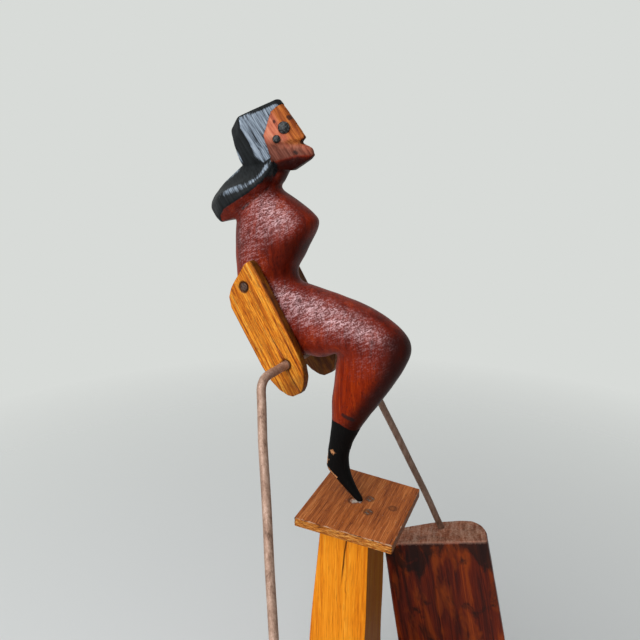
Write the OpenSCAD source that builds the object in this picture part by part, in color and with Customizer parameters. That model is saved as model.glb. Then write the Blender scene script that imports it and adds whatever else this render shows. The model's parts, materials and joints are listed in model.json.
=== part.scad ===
// Balance toy: a carved wooden figure poised on one toe on a small platform.
// Two wooden weights on a bent wire hang below the toe and keep the figure upright.
// Millimetres, +Z up, origin at the centre of the underside of the base.
// The figure faces +X, turned a little to its right, and its right side is -Y.

/* [Stand] */
// Side of the square base
base_w = 90; // [70:1:140]
// Thickness of the base
base_h = 18; // [14:1:30]
// Length of the post between base and platform
post_h = 140.4; // [130:0.1:200]
// Width of the square post at its foot
post_foot_w = 22; // [18:0.5:40]
// Width of the square post at its top
post_top_w = 15.5; // [14:0.1:22]
// Distance of the post from the middle of the base, along -X
post_back = 2.6; // [0:0.1:3.5]
// Distance of the post from the middle of the base, along -Y
post_right = 0.9; // [0:0.1:3]
// Length of the platform, along X
platform_l = 30; // [26:0.5:44]
// Width of the platform, along Y
platform_w = 30.3; // [26:0.1:44]
// Thickness of the platform
platform_t = 2.8; // [2.6:0.1:6]

/* [Fasteners] */
// Diameter of the nail shanks
nail_d = 1.2; // [0.8:0.1:1.6]
// Diameter of the nail heads
nail_head_d = 2.5; // [2:0.1:3]
// Thickness of the nail heads
nail_head_t = 0.5; // [0.4:0.1:0.8]
// Length of the nails in the platform
platform_nail_l = 16; // [10:1:30]
// Length of the nails in the hips
hip_nail_l = 9; // [6:0.5:10]
// Diameter of the screw in the base
screw_d = 4; // [3:0.1:5]
// Diameter of the countersunk screw head
screw_head_d = 8; // [7:0.1:9]
// Length of the screw in the base
screw_l = 48; // [36:1:70]
// Clearance around nails, tacks and the screw
nail_fit = 0.02; // [0.01:0.01:0.05]

/* [Pivot] */
// Diameter of the rounded steel point
point_d = 1; // [0.8:0.05:1.2]
// Depth of the point in the platform
point_in = 1.8; // [1.4:0.1:2.2]
// Height of the pivot centre above the platform
pivot_rise = 0.15; // [0.1:0.05:0.25]
// Wall of the cap over the point
cap_t = 0.3; // [0.2:0.05:0.4]
// Running clearance between the pivot pieces
pivot_gap = 0.05; // [0.03:0.01:0.08]

/* [Figure] */
// Height of the figure, toe to crown
figure_h = 116; // [100:1:140]
// Width of the hips between the slats
hip_w = 15.4; // [13:0.2:20]
// Turn of the figure on the platform at rest
figure_turn = -6; // [-45:1:45]
// Diameter of the eye tacks
eye_d = 3; // [2.4:0.1:3.4]
// Diameter of the ear tacks
ear_d = 1.9; // [1.5:0.1:2.4]
// Diameter of the tack shanks
tack_d = 0.9; // [0.6:0.1:1.2]
// Length of the tack shanks
tack_l = 2.25; // [1.5:0.25:2.5]

/* [Slats] */
// Length of each hip slat
slat_l = 39.7; // [37:0.1:46]
// Width of each hip slat
slat_w = 14.5; // [13:0.5:20]
// Thickness of each hip slat
slat_t = 2.7; // [2:0.1:4]
// Forward tilt of the slats
slat_tilt = 32; // [25:1:35]
// Distance from the upper end of the slat to its nail
slat_nail_in = 5.2; // [4:0.1:8]
// Distance from the upper end of the slat to its wire hole
slat_hole_in = 30.6; // [29:0.1:33]
// Distance of the wire hole in front of the middle of the slat
slat_hole_off = 1.2; // [0:0.1:2]

/* [Wire] */
// Diameter of the wire
wire_d = 2.5; // [2:0.1:3]
// Inside bend radius of the wire
wire_bend_r = 5.5; // [4:0.5:8]
// Distance from the middle of the figure to each bend
wire_reach = 24.4; // [21:0.1:30]
// Drop of the wire from the slat to the weight
wire_drop = 85.6; // [75:0.1:95]
// Outward run of the wire over its drop
wire_out = 31.1; // [26:0.1:40]
// Forward run of the wire over its drop
wire_forward = 27.2; // [24:0.1:34]
// Length of the wire inside each weight
wire_grip = 11; // [8:1:14]
// Clearance around the wire
wire_fit = 0.05; // [0.02:0.01:0.1]

/* [Weights] */
// Width of each weight
weight_w = 41; // [34:0.5:50]
// Depth of each weight
weight_d = 15.5; // [13:0.5:22]
// Height of each weight
weight_h = 46.5; // [42:0.5:64]
// Corner radius on the inner side of each weight
weight_front_r = 1.5; // [1:0.25:3]
// Corner radius on the outer side of each weight
weight_back_r = 5.5; // [3:0.25:6]
// Turn of each weight about its own axis
weight_yaw = 17; // [0:1:40]
// Distance of the wire hole behind the middle of the weight
weight_hole_set = 2.4; // [0:0.1:3]
// Share of the forward lean of the wire that each weight follows
weight_lean = 0.6; // [0.2:0.05:0.8]

/* [Hidden] */
$fn = 48;

// Heights of the stand
post_z = base_h;
platform_z = post_z + post_h;
toe_z = platform_z + platform_t;
// Places of the platform nails, from the middle of the platform
platform_nail_at = [[2.3, 2.7], [3.9, -3.6], [-6.3, 4.6]];
// Length of a nail's point, and the widths at the tips of nails and of the screw
nail_point_l = 1.5 * nail_d;
nail_tip_d = 0.2;
screw_tip_d = 0.4;
// Depth of the countersunk screw head
screw_head_t = (screw_head_d - screw_d) / 2;
// Radii of the nested pivot surfaces
point_r = point_d / 2;
cap_in_r = point_r + pivot_gap;
cap_out_r = cap_in_r + cap_t;
pocket_r = cap_out_r + pivot_gap;
// Half angle that the pivot cap covers
cap_angle = 60;
// Height above the pivot centre at which the toe is cut flat, and the width of that cut
toe_cut = 0.55;
toe_cut_w = 8 * pocket_r;

// The carving is drawn 116 mm tall and 15.4 mm wide at the hips, with the toe at zero
drawn_h = 116;
drawn_hip_w = 15.4;
carve = figure_h / drawn_h;
widen = hip_w / drawn_hip_w;
// Sides of a carved ring, and how square the rings are
ring_n = 20;
ring_power = 2.6;
// Leg from toe to hip: front x, front z, back x, back z, half width
leg = [[1.05, 0.3, -1.15, 0.3, 1.05], [0.3, 3.2, -3.4, 2.4, 1.7], [-2.3, 8.6, -7.2, 5.9, 2.5],
    [-4.2, 13.5, -10.9, 9.4, 3.1], [-3.6, 17.5, -10.7, 15, 3.4], [-2.6, 20.5, -10, 19.5, 3.7],
    [0.2, 26.2, -8.9, 25.5, 4.7], [4.9, 33.6, -8.9, 33, 6], [9.4, 41, -7.6, 40, 6.6],
    [12.6, 47.5, -7, 44, 6.8], [13.3, 51.6, -6.8, 45.7, 6.9], [11.4, 54.8, -7, 46, 7],
    [7, 58, -8, 46, 7.3], [0.6, 60.9, -10, 46, 7.6], [-6.8, 63, -14, 46, 7.7],
    [-16, 65, -22, 46, 7.7]];
// Torso from seat to neck: front x, back x, height, half width
torso = [[-15, -36, 46, 6.2], [-12.5, -39.5, 51, 7.7], [-13.5, -41.3, 60, 7.7], [-17.5, -41.5, 67, 7.7],
    [-21.3, -41.3, 71, 7.4], [-18, -41.5, 77, 7.6], [-15.2, -41.8, 83.5, 8], [-17.6, -41.8, 86.4, 8],
    [-23.2, -41, 90, 7], [-27.6, -40, 92.7, 5.2], [-25, -38, 98, 4.6]];
// Head from jaw to crown: front x, front z, back x, back z, half widths at front, side and back
head = [[-22, 97.8, -36, 98.4, 1.5, 6.2, 4.6], [-15, 100.6, -37, 99.4, 1.3, 6.8, 5],
    [-16.2, 103, -38, 101.4, 1.2, 7, 5], [-19.4, 104.6, -38.6, 102.9, 1.2, 7, 5],
    [-18.1, 105.9, -39.2, 104, 1.2, 7.2, 5], [-21.7, 110.7, -40.6, 108, 1.3, 7.4, 5],
    [-26.4, 116, -38.4, 110.6, 1.5, 6.2, 4.6]];
// Share of the head's length from face to back where it is widest
head_wide_at = 0.68;
// Flared hair from jaw to tip: top x, top z, bottom x, bottom z, half width
flare = [[-26.5, 99.4, -26, 94.6, 6], [-35, 98.6, -33, 90, 8.2], [-43, 93.2, -40, 86, 8.8],
    [-48.8, 89, -46, 83.4, 7.2], [-51.4, 86.6, -49.4, 83, 4.6]];
// Places of the tacks on the head: x, half width, height, and the way that the cheek faces
eye_at = [-23.4, -2.6, 108.2];
ear_at = [-25.4, -3.6, 105.2];
cheek_angle = 22;

// Place of the wire hole on the drawn carving, behind the toe and above it
drawn_hole_back = 18.8;
drawn_hole_up = 44.1;
hole_x = -drawn_hole_back * carve;
hole_z = drawn_hole_up * carve;
// Clipped corners of a slat: upper back one across, and down at its two ends; lower ones along and across
slat_clip_back = [6.5, 2.2, 8.2];
slat_clip_low_back = [8, 4];
slat_clip_low_front = [6, 5];
// Inner and outer faces of the slats, from the middle of the figure
hip_y = hip_w / 2;
slat_out_y = hip_y + slat_t;

// Wire bend between the cross run and each hanging leg
wire_leg_l = norm([wire_forward, wire_out, wire_drop]);
wire_dir = [wire_forward, wire_out, -wire_drop] / wire_leg_l;
wire_bend = acos(wire_dir[1]);
wire_centre_r = wire_bend_r + wire_d / 2;
wire_tangent = wire_centre_r * tan(wire_bend / 2);
weight_top = [hole_x + wire_forward, wire_reach + wire_out, hole_z - wire_drop];
// Sides of the wire and steps in each of its bends
wire_sides = 24;
wire_bend_steps = 8;
// Directions at the right bend: along the cross run, and inward to the middle of the bend
wire_across = [0, -1, 0];
wire_down = [wire_dir[0], -wire_dir[1], wire_dir[2]];
wire_axis = cross(wire_across, wire_down) / sin(wire_bend);
wire_inward = cross(wire_axis, wire_across);
wire_corner = [hole_x, -wire_reach, hole_z];
wire_bend_at = wire_corner - wire_tangent * wire_across;

// Puts the moving assembly on the platform, with the toe at the origin
module on_toe() {
    translate([0, 0, toe_z]) rotate([0, 0, figure_turn]) children();
}

// Puts a shape that is drawn on the right side on the side that is asked for
module on_side(left) {
    mirror([0, left ? 1 : 0, 0]) children();
}

// Closed solid through planar rings that all have the same number of points
module loft(rings) {
    n = len(rings[0]);
    last = (len(rings) - 1) * n;
    points = [for (ring = rings, point = ring) point];
    sides = [for (i = [0:n:last - n], j = [0:n - 1], half = [0, 1])
        half == 0 ? [i + j, i + n + j, i + n + (j + 1) % n]
                  : [i + j, i + n + (j + 1) % n, i + (j + 1) % n]];
    foot = [[for (j = [0:n - 1]) j]];
    top = [[for (j = [n - 1:-1:0]) last + j]];
    polyhedron(points, concat(sides, foot, top));
}

// Rounded ring between a front and a back point, with a half width across
function soft(v) = sign(v) * pow(abs(v), 2 / ring_power);
function ring(front_x, front_z, back_x, back_z, half) = [for (j = [0:ring_n - 1])
    let (a = 360 * j / ring_n, t = soft(cos(a)))
    [carve * (front_x + back_x + t * (front_x - back_x)) / 2, widen * half * soft(sin(a)),
        carve * (front_z + back_z + t * (front_z - back_z)) / 2]];

// Six-sided ring with a narrow face, a wide side and a flat back
function wedge(s) = let (
    mid_x = s[0] + head_wide_at * (s[2] - s[0]),
    mid_z = s[1] + head_wide_at * (s[3] - s[1]),
    half = [[s[0], s[4], s[1]], [mid_x, s[5], mid_z], [s[2], s[6], s[3]]])
    [for (p = concat(half, [for (i = [2:-1:0]) [half[i][0], -half[i][1], half[i][2]]]))
        [carve * p[0], widen * p[1], carve * p[2]]];

// Nail along -Z with the top of its head at zero
module nail(length, fit = 0) {
    translate([0, 0, -nail_head_t - fit]) cylinder(d = nail_head_d + 2 * fit, h = nail_head_t + fit);
    translate([0, 0, nail_point_l - length]) cylinder(d = nail_d + 2 * fit, h = length - nail_point_l);
    translate([0, 0, -length - fit]) cylinder(d1 = nail_tip_d, d2 = nail_d + 2 * fit, h = nail_point_l + fit);
}

// Wood screw up from the underside of the base into the middle of the post
module screw(fit = 0) {
    translate([-post_back, -post_right, 0]) {
        cylinder(d1 = screw_head_d + 2 * fit, d2 = screw_d + 2 * fit, h = screw_head_t);
        cylinder(d = screw_d + 2 * fit, h = screw_l - screw_d);
        translate([0, 0, screw_l - screw_d])
            cylinder(d1 = screw_d + 2 * fit, d2 = screw_tip_d, h = screw_d + fit);
    }
}

// Round tack set square to the right cheek
module tack(at, head_d, fit = 0) {
    translate([carve * at[0], widen * at[1], carve * at[2]]) rotate([90, 0, cheek_angle]) {
        cylinder(d = head_d + 2 * fit, h = 2 * tack_d);
        translate([0, 0, -tack_l - fit]) cylinder(d = tack_d + 2 * fit, h = tack_l + fit);
    }
}

// Nails in the platform, at their places
module platform_nail_set(fit = 0) {
    for (at = platform_nail_at) translate([at[0], at[1], toe_z]) nail(platform_nail_l, fit);
}

// Puts a shape at the upper end of the right slat, X across it and Z along it, Y outward negative
module at_slat() {
    translate([hole_x, 0, hole_z]) rotate([0, -slat_tilt, 0])
        translate([-slat_hole_off, 0, slat_hole_in]) children();
}

// Nail through the right slat into the hip
module hip_nail(fit = 0) {
    at_slat() translate([0, -slat_out_y, -slat_nail_in]) rotate([90, 0, 0]) nail(hip_nail_l, fit);
}

// Way of the hole for the wire, from the left bend across the figure and into the right weight
module wire_way(d) {
    translate([hole_x, wire_reach, hole_z]) rotate([90, 0, 0]) cylinder(d = d, h = 2 * wire_reach - wire_tangent);
    translate(wire_bend_at)
        multmatrix([for (i = [0:2]) [wire_across[i], wire_inward[i], wire_axis[i], 0]])
        translate([0, wire_centre_r, 0]) rotate([0, 0, -90])
        rotate_extrude(angle = wire_bend) translate([wire_centre_r, 0]) circle(d = d);
    translate(wire_corner)
        rotate([0, acos(wire_down[2]), atan2(wire_down[1], wire_down[0])]) translate([0, 0, wire_tangent])
        cylinder(d = d, h = wire_leg_l + wire_grip + wire_fit - wire_tangent);
}

// Stations along the right half of the wire, each a place and a direction
wire_half = concat(
    [for (i = [0:wire_bend_steps])
        let (a = wire_bend * i / wire_bend_steps)
        [wire_bend_at + wire_centre_r * (sin(a) * wire_across + (1 - cos(a)) * wire_inward),
            cos(a) * wire_across + sin(a) * wire_inward]],
    [[wire_corner + (wire_leg_l + wire_grip) * wire_down, wire_down]]);
function flip(v) = [v[0], -v[1], v[2]];
wire_stations = concat(
    [for (i = [len(wire_half) - 1:-1:0]) [flip(wire_half[i][0]), -flip(wire_half[i][1])]], wire_half);
// Round section of the wire square to its direction
function wire_ring(at, way) = let (
    side = [1, 0, 0] - way[0] * way,
    u = side / norm(side),
    v = cross(way, u))
    [for (j = [0:wire_sides - 1])
        let (a = 360 * j / wire_sides)
        at + wire_d / 2 * (cos(a) * u + sin(a) * v)];

// Weight outline with its inner face toward -Y and its corners rounded
module weight_outline() {
    front = weight_front_r;
    back = weight_back_r;
    half = weight_w / 2;
    depth = weight_d / 2;
    translate([front - half, -depth]) square([weight_w - 2 * front, weight_d / 2]);
    translate([-half, front - depth]) square([weight_w, weight_d - front - back]);
    translate([back - half, 0]) square([weight_w - 2 * back, depth]);
    for (s = [-1, 1]) {
        translate([s * (half - front), front - depth]) circle(r = front);
        translate([s * (half - back), depth - back]) circle(r = back);
    }
}

// Weight on the right side, hung from the end of the wire
module weight() {
    lean = atan(weight_lean * wire_forward / wire_drop);
    difference() {
        translate([weight_top[0], -weight_top[1], weight_top[2]])
            rotate([0, -lean, 0]) rotate([0, 0, -weight_yaw])
            translate([0, weight_hole_set, -weight_h])
            linear_extrude(weight_h) mirror([0, 1, 0]) weight_outline();
        wire_way(wire_d + 2 * wire_fit);
    }
}

// Slat on the right hip
module slat() {
    half = slat_w / 2;
    difference() {
        at_slat() translate([0, -hip_y, 0]) rotate([90, 0, 0]) linear_extrude(slat_t)
            polygon([[half, 0], [slat_clip_back[0] - half, -slat_clip_back[1]], [-half, -slat_clip_back[2]],
                [-half, slat_clip_low_back[0] - slat_l], [slat_clip_low_back[1] - half, -slat_l],
                [half - slat_clip_low_front[1], -slat_l], [half, slat_clip_low_front[0] - slat_l]]);
        hip_nail(nail_fit);
        wire_way(wire_d + 2 * wire_fit);
    }
}

module base() {
    color("saddlebrown") difference() {
        translate([-base_w / 2, -base_w / 2, 0]) cube([base_w, base_w, base_h]);
        screw(nail_fit);
    }
}

module base_screw() {
    color("silver") screw();
}

module post() {
    color("goldenrod") difference() {
        translate([-post_back, -post_right, post_z]) linear_extrude(post_h, scale = post_top_w / post_foot_w)
            square(post_foot_w, center = true);
        screw(nail_fit);
        platform_nail_set(nail_fit);
    }
}

module platform() {
    color("sienna") difference() {
        translate([-platform_l / 2, -platform_w / 2, platform_z]) cube([platform_l, platform_w, platform_t]);
        platform_nail_set(nail_fit);
        translate([0, 0, toe_z - point_in - pivot_gap]) cylinder(r = cap_in_r, h = 2 * point_in);
    }
}

module platform_nails() {
    color("dimgray") platform_nail_set();
}

module pivot_point() {
    shank_l = point_in + pivot_rise;
    color("silver") translate([0, 0, toe_z + pivot_rise]) rotate_extrude() {
        translate([0, -shank_l]) square([point_r, shank_l]);
        intersection() {
            circle(r = point_r);
            square(point_r);
        }
    }
}

module pivot_cap() {
    past = 2 * cap_out_r;
    color("gray") translate([0, 0, toe_z + pivot_rise]) rotate_extrude() intersection() {
        difference() {
            circle(r = cap_out_r);
            circle(r = cap_in_r);
        }
        polygon([[0, 0], past * [sin(cap_angle), cos(cap_angle)], [past, past], [0, past]]);
    }
}

module figure() {
    color("maroon") on_toe() difference() {
        union() {
            loft([for (s = leg) ring(s[0], s[1], s[2], s[3], s[4])]);
            loft([for (s = torso) ring(s[0], s[2], s[1], s[2], s[3])]);
            loft([for (s = head) wedge(s)]);
            loft([for (s = flare) ring(s[0], s[1], s[2], s[3], s[4])]);
        }
        translate([0, 0, pivot_rise]) sphere(r = pocket_r);
        translate([-toe_cut_w / 2, -toe_cut_w / 2, pivot_rise + toe_cut - pocket_r])
            cube([toe_cut_w, toe_cut_w, pocket_r]);
        for (left = [false, true]) on_side(left) {
            hip_nail(nail_fit);
            wire_way(wire_d + 2 * wire_fit);
            tack(eye_at, eye_d, nail_fit);
            tack(ear_at, ear_d, nail_fit);
        }
    }
}

module eye_tacks() {
    color("black") on_toe() for (left = [false, true]) on_side(left) tack(eye_at, eye_d);
}

module ear_tacks() {
    color("black") on_toe() for (left = [false, true]) on_side(left) tack(ear_at, ear_d);
}

module right_hip_slat() {
    color("peru") on_toe() slat();
}

module left_hip_slat() {
    color("peru") on_toe() on_side(true) slat();
}

module right_hip_nail() {
    color("dimgray") on_toe() hip_nail();
}

module left_hip_nail() {
    color("dimgray") on_toe() on_side(true) hip_nail();
}

module balance_wire() {
    color("rosybrown") on_toe() loft([for (s = wire_stations) wire_ring(s[0], s[1])]);
}

module right_weight() {
    color("brown") on_toe() weight();
}

module left_weight() {
    color("brown") on_toe() on_side(true) weight();
}

base();
base_screw();
post();
platform();
platform_nails();
pivot_point();
pivot_cap();
figure();
eye_tacks();
ear_tacks();
right_hip_slat();
left_hip_slat();
right_hip_nail();
left_hip_nail();
balance_wire();
right_weight();
left_weight();
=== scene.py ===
import json
import math
from itertools import product

import bpy
import numpy as np
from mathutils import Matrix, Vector, noise


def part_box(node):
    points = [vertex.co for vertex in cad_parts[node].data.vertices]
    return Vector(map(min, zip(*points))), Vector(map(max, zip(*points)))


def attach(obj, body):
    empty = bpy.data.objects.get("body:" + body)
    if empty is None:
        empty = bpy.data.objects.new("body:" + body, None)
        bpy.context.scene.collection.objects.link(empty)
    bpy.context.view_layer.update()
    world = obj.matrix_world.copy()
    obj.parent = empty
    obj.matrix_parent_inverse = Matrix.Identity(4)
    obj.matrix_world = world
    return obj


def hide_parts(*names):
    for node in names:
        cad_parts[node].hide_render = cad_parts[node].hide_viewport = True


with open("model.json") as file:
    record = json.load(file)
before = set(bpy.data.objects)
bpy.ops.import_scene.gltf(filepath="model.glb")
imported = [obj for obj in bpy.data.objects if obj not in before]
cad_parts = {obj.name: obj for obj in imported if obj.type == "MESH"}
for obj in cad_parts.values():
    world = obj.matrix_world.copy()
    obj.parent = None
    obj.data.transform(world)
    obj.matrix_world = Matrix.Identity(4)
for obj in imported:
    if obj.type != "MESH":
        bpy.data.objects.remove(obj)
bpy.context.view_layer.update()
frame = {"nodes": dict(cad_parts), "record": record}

# Sizes below are millimetres, and pieces of the balancer are drawn with the toe at zero:
# x forward, y to the figure's left, z up.
MM = 0.001
JOINTS = {joint["name"]: joint for joint in frame["record"]["behaviour"]["joints"]}
ROCK_AXIS = JOINTS["toe_rock"]["axis"]
TURN = math.atan2(ROCK_AXIS[1], ROCK_AXIS[0])
PLATFORM_LOW, PLATFORM_HIGH = (np.array(corner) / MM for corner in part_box("platform"))
POST_LOW, POST_HIGH = (np.array(corner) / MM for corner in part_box("post"))
BASE_LOW, BASE_HIGH = (np.array(corner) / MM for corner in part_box("base"))
TOE = np.array([0.0, 0.0, PLATFORM_HIGH[2]])

# Slats, wire, weights and nails, close to the solids and a little uneven as the toy is
HIP_HALF = 7.7
SLAT_THICK = 2.7
SLAT_LONG = 39.7
SLAT_WIDE = 14.5
SLAT_TILT = math.radians(32)
SLAT_NAIL_IN = 5.4
SLAT_NAIL_OFF = 0.6
SLAT_HOLE_IN = 30.6
SLAT_HOLE_OFF = 1.2
HOLE = np.array([-19.4, 0.0, 44.6])
WIRE_END = np.array([8.4, 55.5, -41.5])
WIRE_RADIUS = 1.25
WIRE_SIDES = 28
WIRE_BEND = 5.0
WIRE_REACH = {"right": 22.4, "left": 25.2}
WIRE_SET = {"right": 0.0, "left": 0.9}
WIRE_BOW = 0.6
WIRE_GRIP = 11.0
WIRE_EASE = 14.0
WIRE_BEND_STEPS = 14
WIRE_RUN_STEPS = 60
WEIGHT_SIZE = np.array([41.0, 15.5, 46.5])
WEIGHT_FRONT_ROUND = 1.5
WEIGHT_BACK_ROUND = 5.5
WEIGHT_YAW = math.radians(17)
WEIGHT_HOLE_SET = 2.4
WEIGHT_LEAN = math.radians(12.4)
WEIGHT_DROP = 1.2
WEIGHT_TAPER = 0.03
POST_TOP_WIDE = 15.5
PLATFORM_NAILS = [(2.3, 2.7), (3.9, -3.6), (-4.9, 4.3)]
# Nails as length and head radius, and radii of the tacks' heads
PLATFORM_NAIL = (15.8, 1.38)
HIP_NAIL = (8.9, 1.22)
EYE_RADIUS = 1.6
EAR_RADIUS = 1.05
# Depth of the hammer dents in nails and tacks
PLATFORM_NAIL_DENTS = 0.12
HIP_NAIL_DENTS = 0.10
TACK_DENTS = 0.06
# Boards: radius of the edges, faces along each side, and faces round an edge
SLAT_BLOCK = (0.4, (56, 4, 130), 3)
POST_BLOCK = (0.5, (26, 26, 120), 3)
PLATFORM_BLOCK = (0.3, (90, 90, 9), 3)
BASE_BLOCK = (1.6, (48, 48, 8), 5)
# How far apart the grain of the right and the left piece of a pair is taken, from the middle
SLAT_APART = 70
WEIGHT_APART = 90
# Which way y points on each side of the figure
SIDES = ((-1, "right"), (1, "left"))


def to_row(points):
    """Points of the balancer, in millimetres from the toe, in the row frame in metres."""
    points = np.asarray(points, float)
    c, s = math.cos(TURN), math.sin(TURN)
    turn = np.array([[c, -s, 0], [s, c, 0], [0, 0, 1]])
    return (points @ turn.T + TOE) * MM


def direction_to_row(way):
    return (to_row(way) - to_row((0, 0, 0))) / MM


def grain_noise(points, size, seed=0.0):
    """Smooth noise from -1 to 1 at each point, with features of the given size."""
    shift = Vector((seed, 2 * seed, -seed))
    return np.array([noise.noise(Vector(p) / size + shift) for p in points])


def rise(low, high, value):
    """Rises smoothly from 0 to 1 between two values, or falls if they are the other way round."""
    t = np.clip((value - low) / (high - low), 0, 1)
    return t * t * (3 - 2 * t)


def window(value, low, full, fade, high):
    """Rises from 0 to 1 between the first two limits and falls again between the last two."""
    return rise(low, full, value) * rise(high, fade, value)


def follow(table, value):
    """Reads a table of pairs at each value, straight between its rows."""
    return np.interp(value, *np.array(table).T)


# Mesh helpers
def smooth_shaded(mesh):
    mesh.polygons.foreach_set("use_smooth", [True] * len(mesh.polygons))


def put_values(mesh, local, values):
    """Stores a piece's own pattern coordinates and named values on its points."""
    if local is not None:
        mesh.attributes.new("local", "FLOAT_VECTOR", "POINT").data.foreach_set("vector", np.ravel(local))
    for key, value in values.items():
        mesh.attributes.new(key, "FLOAT", "POINT").data.foreach_set("value", np.ravel(value))


def mesh_object(name, points, faces, local=None, material=None, **values):
    """Smooth object from points in metres, with its pattern coordinates and named values."""
    mesh = bpy.data.meshes.new(name)
    mesh.from_pydata([tuple(p) for p in points], [], [tuple(f) for f in faces])
    mesh.update()
    put_values(mesh, local, values)
    smooth_shaded(mesh)
    if material:
        mesh.materials.append(material)
    obj = bpy.data.objects.new(name, mesh)
    bpy.context.collection.objects.link(obj)
    return obj


def show(obj, body, slot, *nodes):
    """The piece rides on its body and stands for these solids."""
    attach(obj, body)
    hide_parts(*nodes)
    return obj


def baked(obj):
    """The object's evaluated shape as a plain mesh object of the same name."""
    graph = bpy.context.evaluated_depsgraph_get()
    mesh = bpy.data.meshes.new_from_object(obj.evaluated_get(graph))
    name = obj.name
    bpy.data.objects.remove(obj)
    plain = bpy.data.objects.new(name, mesh)
    bpy.context.collection.objects.link(plain)
    return plain


def read_vectors(items, key):
    values = np.empty(len(items) * 3)
    items.foreach_get(key, values)
    return values.reshape(-1, 3)


def loft(rings):
    """Points and faces of a closed skin through rings of equal length."""
    rings = np.asarray(rings, float)
    count, n = rings.shape[:2]
    points = np.vstack([rings.reshape(-1, 3), rings[0].mean(0), rings[-1].mean(0)])
    faces = []
    for i in range(count - 1):
        for j in range(n):
            k = (j + 1) % n
            faces.append((i * n + j, i * n + k, (i + 1) * n + k, (i + 1) * n + j))
    last = (count - 1) * n
    for j in range(n):
        k = (j + 1) % n
        faces.append((count * n, k, j))
        faces.append((count * n + 1, last + j, last + k))
    return points, faces


def between(sections, steps=6):
    """Sections with smooth in-between ones, so that a few drawn ones give a flowing form."""
    s = np.asarray(sections, float)
    s = np.concatenate([[2 * s[0] - s[1]], s, [2 * s[-1] - s[-2]]])
    out = []
    for i in range(1, len(s) - 2):
        for t in np.arange(steps) / steps:
            a, b, c, d = s[i - 1:i + 3]
            out.append(0.5 * (2 * b + (c - a) * t + (2 * a - 5 * b + 4 * c - d) * t ** 2
                              + (3 * b - a - 3 * c + d) * t ** 3))
    out.append(s[-2])
    return np.array(out)


def edge_steps(half, radius, fine, coarse):
    """Places from one edge of a block to the other, close together where the edges are rounded."""
    band = radius * (1 - np.cos(np.linspace(0, np.pi / 2, fine + 1)))
    low = -half + band
    middle = np.linspace(-half + radius, half - radius, coarse + 1)[1:-1]
    return np.concatenate([low, middle, -low[::-1]])


def block(size, radius, coarse, fine):
    """Points and faces of a box with rounded edges and a grid on every side."""
    half = np.asarray(size, float) / 2
    steps = [edge_steps(half[a], radius, fine, coarse[a]) for a in range(3)]
    index, points, faces = {}, [], []
    for axis, side in product(range(3), (-1, 1)):
        u, v = (axis + 1) % 3, (axis + 2) % 3
        grid = np.empty((len(steps[u]), len(steps[v])), int)
        for (i, a), (j, b) in product(enumerate(steps[u]), enumerate(steps[v])):
            p = np.zeros(3)
            p[axis], p[u], p[v] = side * half[axis], a, b
            key = tuple(np.round(p, 5))
            if key not in index:
                index[key] = len(points)
                points.append(p)
            grid[i, j] = index[key]
        for i, j in product(range(len(steps[u]) - 1), range(len(steps[v]) - 1)):
            quad = [grid[i, j], grid[i + 1, j], grid[i + 1, j + 1], grid[i, j + 1]]
            faces.append(quad if side > 0 else quad[::-1])
    points = np.array(points)
    inner = np.clip(points, radius - half, half - radius)
    out = points - inner
    return inner + radius * out / np.linalg.norm(out, axis=1)[:, None], faces


def block_normals(size, points):
    """Outward direction on a block, toward the side that each point is nearest to."""
    depth = np.asarray(size) / 2 - np.abs(points)
    normals = np.zeros_like(points)
    nearest = depth.argmin(1)
    rows = np.arange(len(points))
    normals[rows, nearest] = np.sign(points[rows, nearest])
    return normals


# Shader maths
class Tone:
    """A socket of a material. Arithmetic on it adds Math nodes."""

    def __init__(self, paint, socket):
        self.paint, self.socket = paint, socket

    def math(self, operation, a, b=0.0, clamp=False):
        settings = {"operation": operation, "use_clamp": clamp}
        return self.paint.node("ShaderNodeMath", settings, {0: a, 1: b})

    def __add__(self, other):
        return self.math("ADD", self, other)

    def __sub__(self, other):
        return self.math("SUBTRACT", self, other)

    def __rsub__(self, other):
        return self.math("SUBTRACT", other, self)

    def __mul__(self, other):
        return self.math("MULTIPLY", self, other)

    def __abs__(self):
        return self.math("ABSOLUTE", self)

    __radd__ = __add__
    __rmul__ = __mul__

    def step(self, low, high):
        """Rises from 0 to 1 between two values, or falls if they are the other way round."""
        return self.math("ADD", (self - low) * (1.0 / (high - low)), 0.0, clamp=True)


def tint(red, green, blue):
    """A colour for Blender from one given as it looks on a screen, from 0 to 255."""
    def linear(v):
        v /= 255
        return v / 12.92 if v <= 0.04045 else ((v + 0.055) / 1.055) ** 2.4
    return linear(red), linear(green), linear(blue), 1.0


# Sockets that the gloss of a finish is given for, in this order
GLOSS = ("Specular IOR Level", "Coat Weight", "Coat Roughness")


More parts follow.
